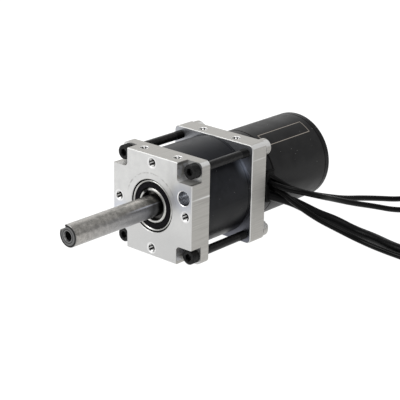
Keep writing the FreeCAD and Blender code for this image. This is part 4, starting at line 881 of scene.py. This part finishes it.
dress(core_steel, "stator_core")

enamelled, tree, shader, coords = finish("enamelled_copper", 0.28, 0.85)
from_axis = from_shaft_axis(tree, parts(tree, coords["Object"]))
turn_phase = times(tree, from_axis, 2 * math.pi / WIRE_THICKNESS)
wire_round = between(tree, maths(tree, "SINE", turn_phase), -1.0, 1.0)
wire_colour = mixed(tree, noise(tree, coords["Object"], 260), WIRE_DARK_COLOUR, WIRE_COLOUR)
# Painted shade in the creases between neighbouring turns.
wire_gap_shade = between(tree, wire_round, 0.35, 0.0)
wire_up(tree, shader, Base_Color=mixed(tree, wire_gap_shade, wire_colour, WIRE_GAP_SHADE_COLOUR),
        Normal=bump(tree, maths(tree, "SQRT", wire_round), 0.0003))
dress(enamelled, "stator_windings")

# ---- sensor board ----------------------------------------------------------
# Glass-fibre ring behind the base with green solder mask and copper tracks;
# three sensors in black epoxy look at the ends of the magnets.
TRACK_SPACING = 0.0016
MASK_COLOUR = (0.010, 0.075, 0.028, 1)
TRACK_COLOUR = (0.020, 0.150, 0.055, 1)
EPOXY_COLOUR = (0.012, 0.012, 0.012, 1)
EPOXY_PALE_COLOUR = (0.03, 0.03, 0.03, 1)
solder_mask, tree, shader, coords = finish("green_solder_mask", 0.3)
from_axis = from_shaft_axis(tree, parts(tree, coords["Object"]))
track_phase = times(tree, from_axis, 2 * math.pi / TRACK_SPACING)
track = between(tree, maths(tree, "SINE", track_phase), 0.1, 0.4)
weave = noise(tree, stretched(tree, coords["Object"], (1, 2600, 2600)), 1.0)
wire_up(tree, shader, Base_Color=mixed(tree, track, MASK_COLOUR, TRACK_COLOUR),
        Roughness=maths(tree, "MULTIPLY_ADD", weave, 0.15, 0.22),
        Normal=bump(tree, track, 0.00003))
dress(solder_mask, "hall_board")

chip_epoxy, tree, shader, coords = finish("chip_epoxy", 0.5)
epoxy_tone = noise(tree, coords["Object"], 4000)
wire_up(tree, shader, Base_Color=mixed(tree, epoxy_tone, EPOXY_COLOUR, EPOXY_PALE_COLOUR),
        Normal=bump(tree, epoxy_tone, 0.00001))
dress(chip_epoxy, "hall_sensors")

# ---- rotor -----------------------------------------------------------------
# Fourteen nickel-plated magnets glued in a steel can, carried on the motor
# shaft by a vented cap. The can has the barrel's black coat, with a plain
# etched field where a rating is usually marked.
NICKEL_COLOUR = (0.50, 0.48, 0.43, 1)
NICKEL_PALE_COLOUR = (0.66, 0.64, 0.60, 1)
nickel, tree, shader, coords = finish("nickel_plate", 0.22, 1.0)
nickel_tone = between(tree, noise(tree, coords["Object"], 380, 3.0), 0.35, 0.65)
wire_up(tree, shader, Base_Color=mixed(tree, nickel_tone, NICKEL_COLOUR, NICKEL_PALE_COLOUR),
        Roughness=maths(tree, "MULTIPLY_ADD", nickel_tone, 0.12, 0.16))
dress(nickel, "rotor_magnets")

CAN_COLOUR = (0.013, 0.013, 0.0135, 1)
CAN_PALE_COLOUR = (0.021, 0.021, 0.0215, 1)
ETCHED_COLOUR = (0.46, 0.41, 0.36, 1)
FIELD_X = (-0.1218, -0.0812)
FIELD_ANGLES = (math.radians(50.5), math.radians(69.4))
LINE_WIDTH = 0.0005
SEAM_WIDTH = 0.0010             # shadow of the joints at both ends of the can
SEAM_COLOUR = (0.001, 0.001, 0.001, 1)
can_low, can_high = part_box("rotor_can")
can_radius = can_high[2]
can_middle_x = (can_low[0] + can_high[0]) / 2
can_half = can_high[0] - can_middle_x
field_middle_x = (FIELD_X[0] + FIELD_X[1]) / 2
field_half_x = (FIELD_X[1] - FIELD_X[0]) / 2
field_middle_angle = (FIELD_ANGLES[0] + FIELD_ANGLES[1]) / 2
field_half_arc = (FIELD_ANGLES[1] - FIELD_ANGLES[0]) / 2 * can_radius

can_coat, tree, shader, coords = finish("satin_black_can", 0.4, specular=0.15)
place = coords["Object"]
axes = parts(tree, place)
coat = placed(tree, stoved, {"Vector": place, "Dark": CAN_COLOUR, "Pale": CAN_PALE_COLOUR,
                             "Gloss": 0.38})
angle = maths(tree, "ARCTAN2", axes["Z"], axes["Y"])
arc = times(tree, minus(tree, angle, field_middle_angle), can_radius)
off_x = minus(tree, away(tree, axes["X"], field_middle_x), field_half_x)
off_arc = minus(tree, maths(tree, "ABSOLUTE", arc), field_half_arc)
off_edge = maths(tree, "ABSOLUTE", maths(tree, "MAXIMUM", off_x, off_arc))
etched = between(tree, off_edge, LINE_WIDTH / 2, LINE_WIDTH / 4)
seam = between(tree, away(tree, axes["X"], can_middle_x), can_half - SEAM_WIDTH,
               can_half - SEAM_WIDTH / 2)
can_colour = mixed(tree, times(tree, etched, 0.9), coat["Color"], ETCHED_COLOUR)
wire_up(tree, shader, Base_Color=mixed(tree, seam, can_colour, SEAM_COLOUR),
        Roughness=coat["Roughness"], Normal=bump(tree, coat["Height"], 0.00001))
dress(can_coat, "rotor_can")

# ---- grommet ---------------------------------------------------------------
# Moulded rubber bush, pressed in the side of the base. It guards the leads
# where they leave the motor.
GROMMET_COLOUR = (0.002, 0.002, 0.002, 1)
GROMMET_PALE_COLOUR = (0.006, 0.006, 0.006, 1)
grommet_rubber, tree, shader, coords = finish("grommet_rubber", 0.55, specular=0.1)
pores = noise(tree, coords["Object"], 3500)
wire_up(tree, shader, Base_Color=mixed(tree, pores, GROMMET_COLOUR, GROMMET_PALE_COLOUR),
        Roughness=maths(tree, "MULTIPLY_ADD", pores, 0.2, 0.45),
        Normal=bump(tree, pores, 0.00002))
dress(grommet_rubber, "lead_grommet")

# ---- plugs -----------------------------------------------------------------
# Gold-plated bullet plugs on the phase leads, and a six-way nylon plug on the
# sensor cable.
GOLD_COLOUR = (0.80, 0.55, 0.20, 1)
GOLD_PALE_COLOUR = (0.92, 0.70, 0.33, 1)
PLUG_COLOUR = (0.016, 0.016, 0.016, 1)
PLUG_PALE_COLOUR = (0.032, 0.032, 0.032, 1)
gold_plate, tree, shader, coords = finish("gold_plated_brass", 0.24, 1.0)
gold_tone = between(tree, noise(tree, coords["Object"], 700, 4.0), 0.35, 0.7)
wire_up(tree, shader, Base_Color=mixed(tree, gold_tone, GOLD_COLOUR, GOLD_PALE_COLOUR),
        Roughness=maths(tree, "MULTIPLY_ADD", gold_tone, 0.14, 0.16))
dress(gold_plate, "phase_connector_a", "phase_connector_b", "phase_connector_c")

plug_nylon, tree, shader, coords = finish("black_nylon", 0.42)
spark = noise(tree, coords["Object"], 2600)
wire_up(tree, shader, Base_Color=mixed(tree, spark, PLUG_COLOUR, PLUG_PALE_COLOUR),
        Roughness=maths(tree, "MULTIPLY_ADD", spark, 0.2, 0.35),
        Normal=bump(tree, spark, 0.000015))
dress(plug_nylon, "sensor_plug")

# ---- leads -----------------------------------------------------------------
# Three phase leads in black silicone rubber and a sensor cable in shrink
# sleeve. They leave the grommet, sag to the table and lie on it.
LEAD_RADIUS = 0.00175
CABLE_RADIUS = 0.003
FLAT_LEAD_Z = FLOOR_Z + LEAD_RADIUS
FLAT_CABLE_Z = FLOOR_Z + CABLE_RADIUS
PLUG_Z = FLOOR_Z + 0.0024        # height at which a bullet plug lies on the table
SILICONE_COLOUR = (0.001, 0.001, 0.0011, 1)
SILICONE_PALE_COLOUR = (0.003, 0.003, 0.003, 1)
SHRINK_COLOUR = (0.003, 0.003, 0.0034, 1)
SHRINK_PALE_COLOUR = (0.007, 0.007, 0.0074, 1)
LEAD_ROUTES = {
    "phase_lead_a": [(-0.0725, 0.0255, 0.007), (-0.0775, 0.033, 0.001), (-0.0865, 0.036, -0.004),
                     (-0.097, 0.0375, -0.0085), (-0.112, 0.040, -0.0135), (-0.128, 0.0415, -0.0185),
                     (-0.1445, 0.0435, -0.022), (-0.160, 0.047, -0.0255),
                     (-0.1735, 0.0525, FLAT_LEAD_Z), (-0.1855, 0.057, FLAT_LEAD_Z),
                     (-0.1975, 0.063, PLUG_Z)],
    "phase_lead_b": [(-0.071, 0.0255, 0.003), (-0.0715, 0.0345, 0.0015), (-0.0795, 0.0445, -0.001),
                     (-0.0925, 0.049, -0.006), (-0.108, 0.0485, -0.012), (-0.1225, 0.0515, -0.0175),
                     (-0.1375, 0.057, -0.022), (-0.151, 0.0635, -0.0265),
                     (-0.164, 0.0695, FLAT_LEAD_Z), (-0.1775, 0.072, FLAT_LEAD_Z),
                     (-0.1905, 0.076, PLUG_Z)],
    "phase_lead_c": [(-0.073, 0.0255, -0.0005), (-0.074, 0.0335, -0.0015), (-0.077, 0.0435, -0.0085),
                     (-0.085, 0.053, -0.017), (-0.0915, 0.063, -0.0225), (-0.095, 0.0745, -0.0265),
                     (-0.0955, 0.088, FLAT_LEAD_Z), (-0.094, 0.103, FLAT_LEAD_Z),
                     (-0.0935, 0.118, FLAT_LEAD_Z), (-0.0945, 0.1325, FLAT_LEAD_Z),
                     (-0.0975, 0.1465, PLUG_Z)],
    "sensor_cable": [(-0.073, 0.0255, -0.006), (-0.0785, 0.036, -0.0075), (-0.086, 0.044, -0.013),
                     (-0.0925, 0.0485, -0.0175), (-0.100, 0.0555, -0.0215), (-0.104, 0.0665, -0.026),
                     (-0.1045, 0.0805, FLAT_CABLE_Z), (-0.1005, 0.0955, FLAT_CABLE_Z),
                     (-0.0995, 0.111, FLAT_CABLE_Z), (-0.103, 0.1265, FLAT_CABLE_Z),
                     (-0.108, 0.1415, FLAT_CABLE_Z)],
}

silicone, tree, shader, coords = finish("black_silicone", 0.2, specular=0.11)
powder = between(tree, noise(tree, coords["Object"], 130), 0.45, 0.75)
wire_up(tree, shader, Base_Color=mixed(tree, powder, SILICONE_COLOUR, SILICONE_PALE_COLOUR),
        Roughness=maths(tree, "MULTIPLY_ADD", powder, 0.12, 0.17),
        Normal=bump(tree, noise(tree, coords["Object"], 260), 0.00002))

shrink, tree, shader, coords = finish("shrink_sleeve", 0.3, specular=0.09)
ripple = noise(tree, coords["Object"], 420)
wire_up(tree, shader, Base_Color=mixed(tree, ripple, SHRINK_COLOUR, SHRINK_PALE_COLOUR),
        Roughness=maths(tree, "MULTIPLY_ADD", ripple, 0.18, 0.22),
        Normal=bump(tree, ripple, 0.00012))

for node, route in LEAD_ROUTES.items():
    sensor = node == "sensor_cable"
    curve = bpy.data.curves.new(node + "_sleeve", "CURVE")
    curve.dimensions = "3D"
    spline = curve.splines.new("NURBS")
    spline.points.add(len(route) - 1)
    for point, corner in zip(spline.points, route):
        point.co = (*corner, 1)
    spline.order_u = 3
    spline.use_endpoint_u = True
    spline.resolution_u = 8
    curve.bevel_depth = CABLE_RADIUS if sensor else LEAD_RADIUS
    curve.bevel_resolution = 5
    curve.use_fill_caps = True
    curve.materials.append(shrink if sensor else silicone)
    sleeve = bpy.data.objects.new(node + "_sleeve", curve)
    bpy.context.scene.collection.objects.link(sleeve)
    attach(sleeve, "housing")
    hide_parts(node)
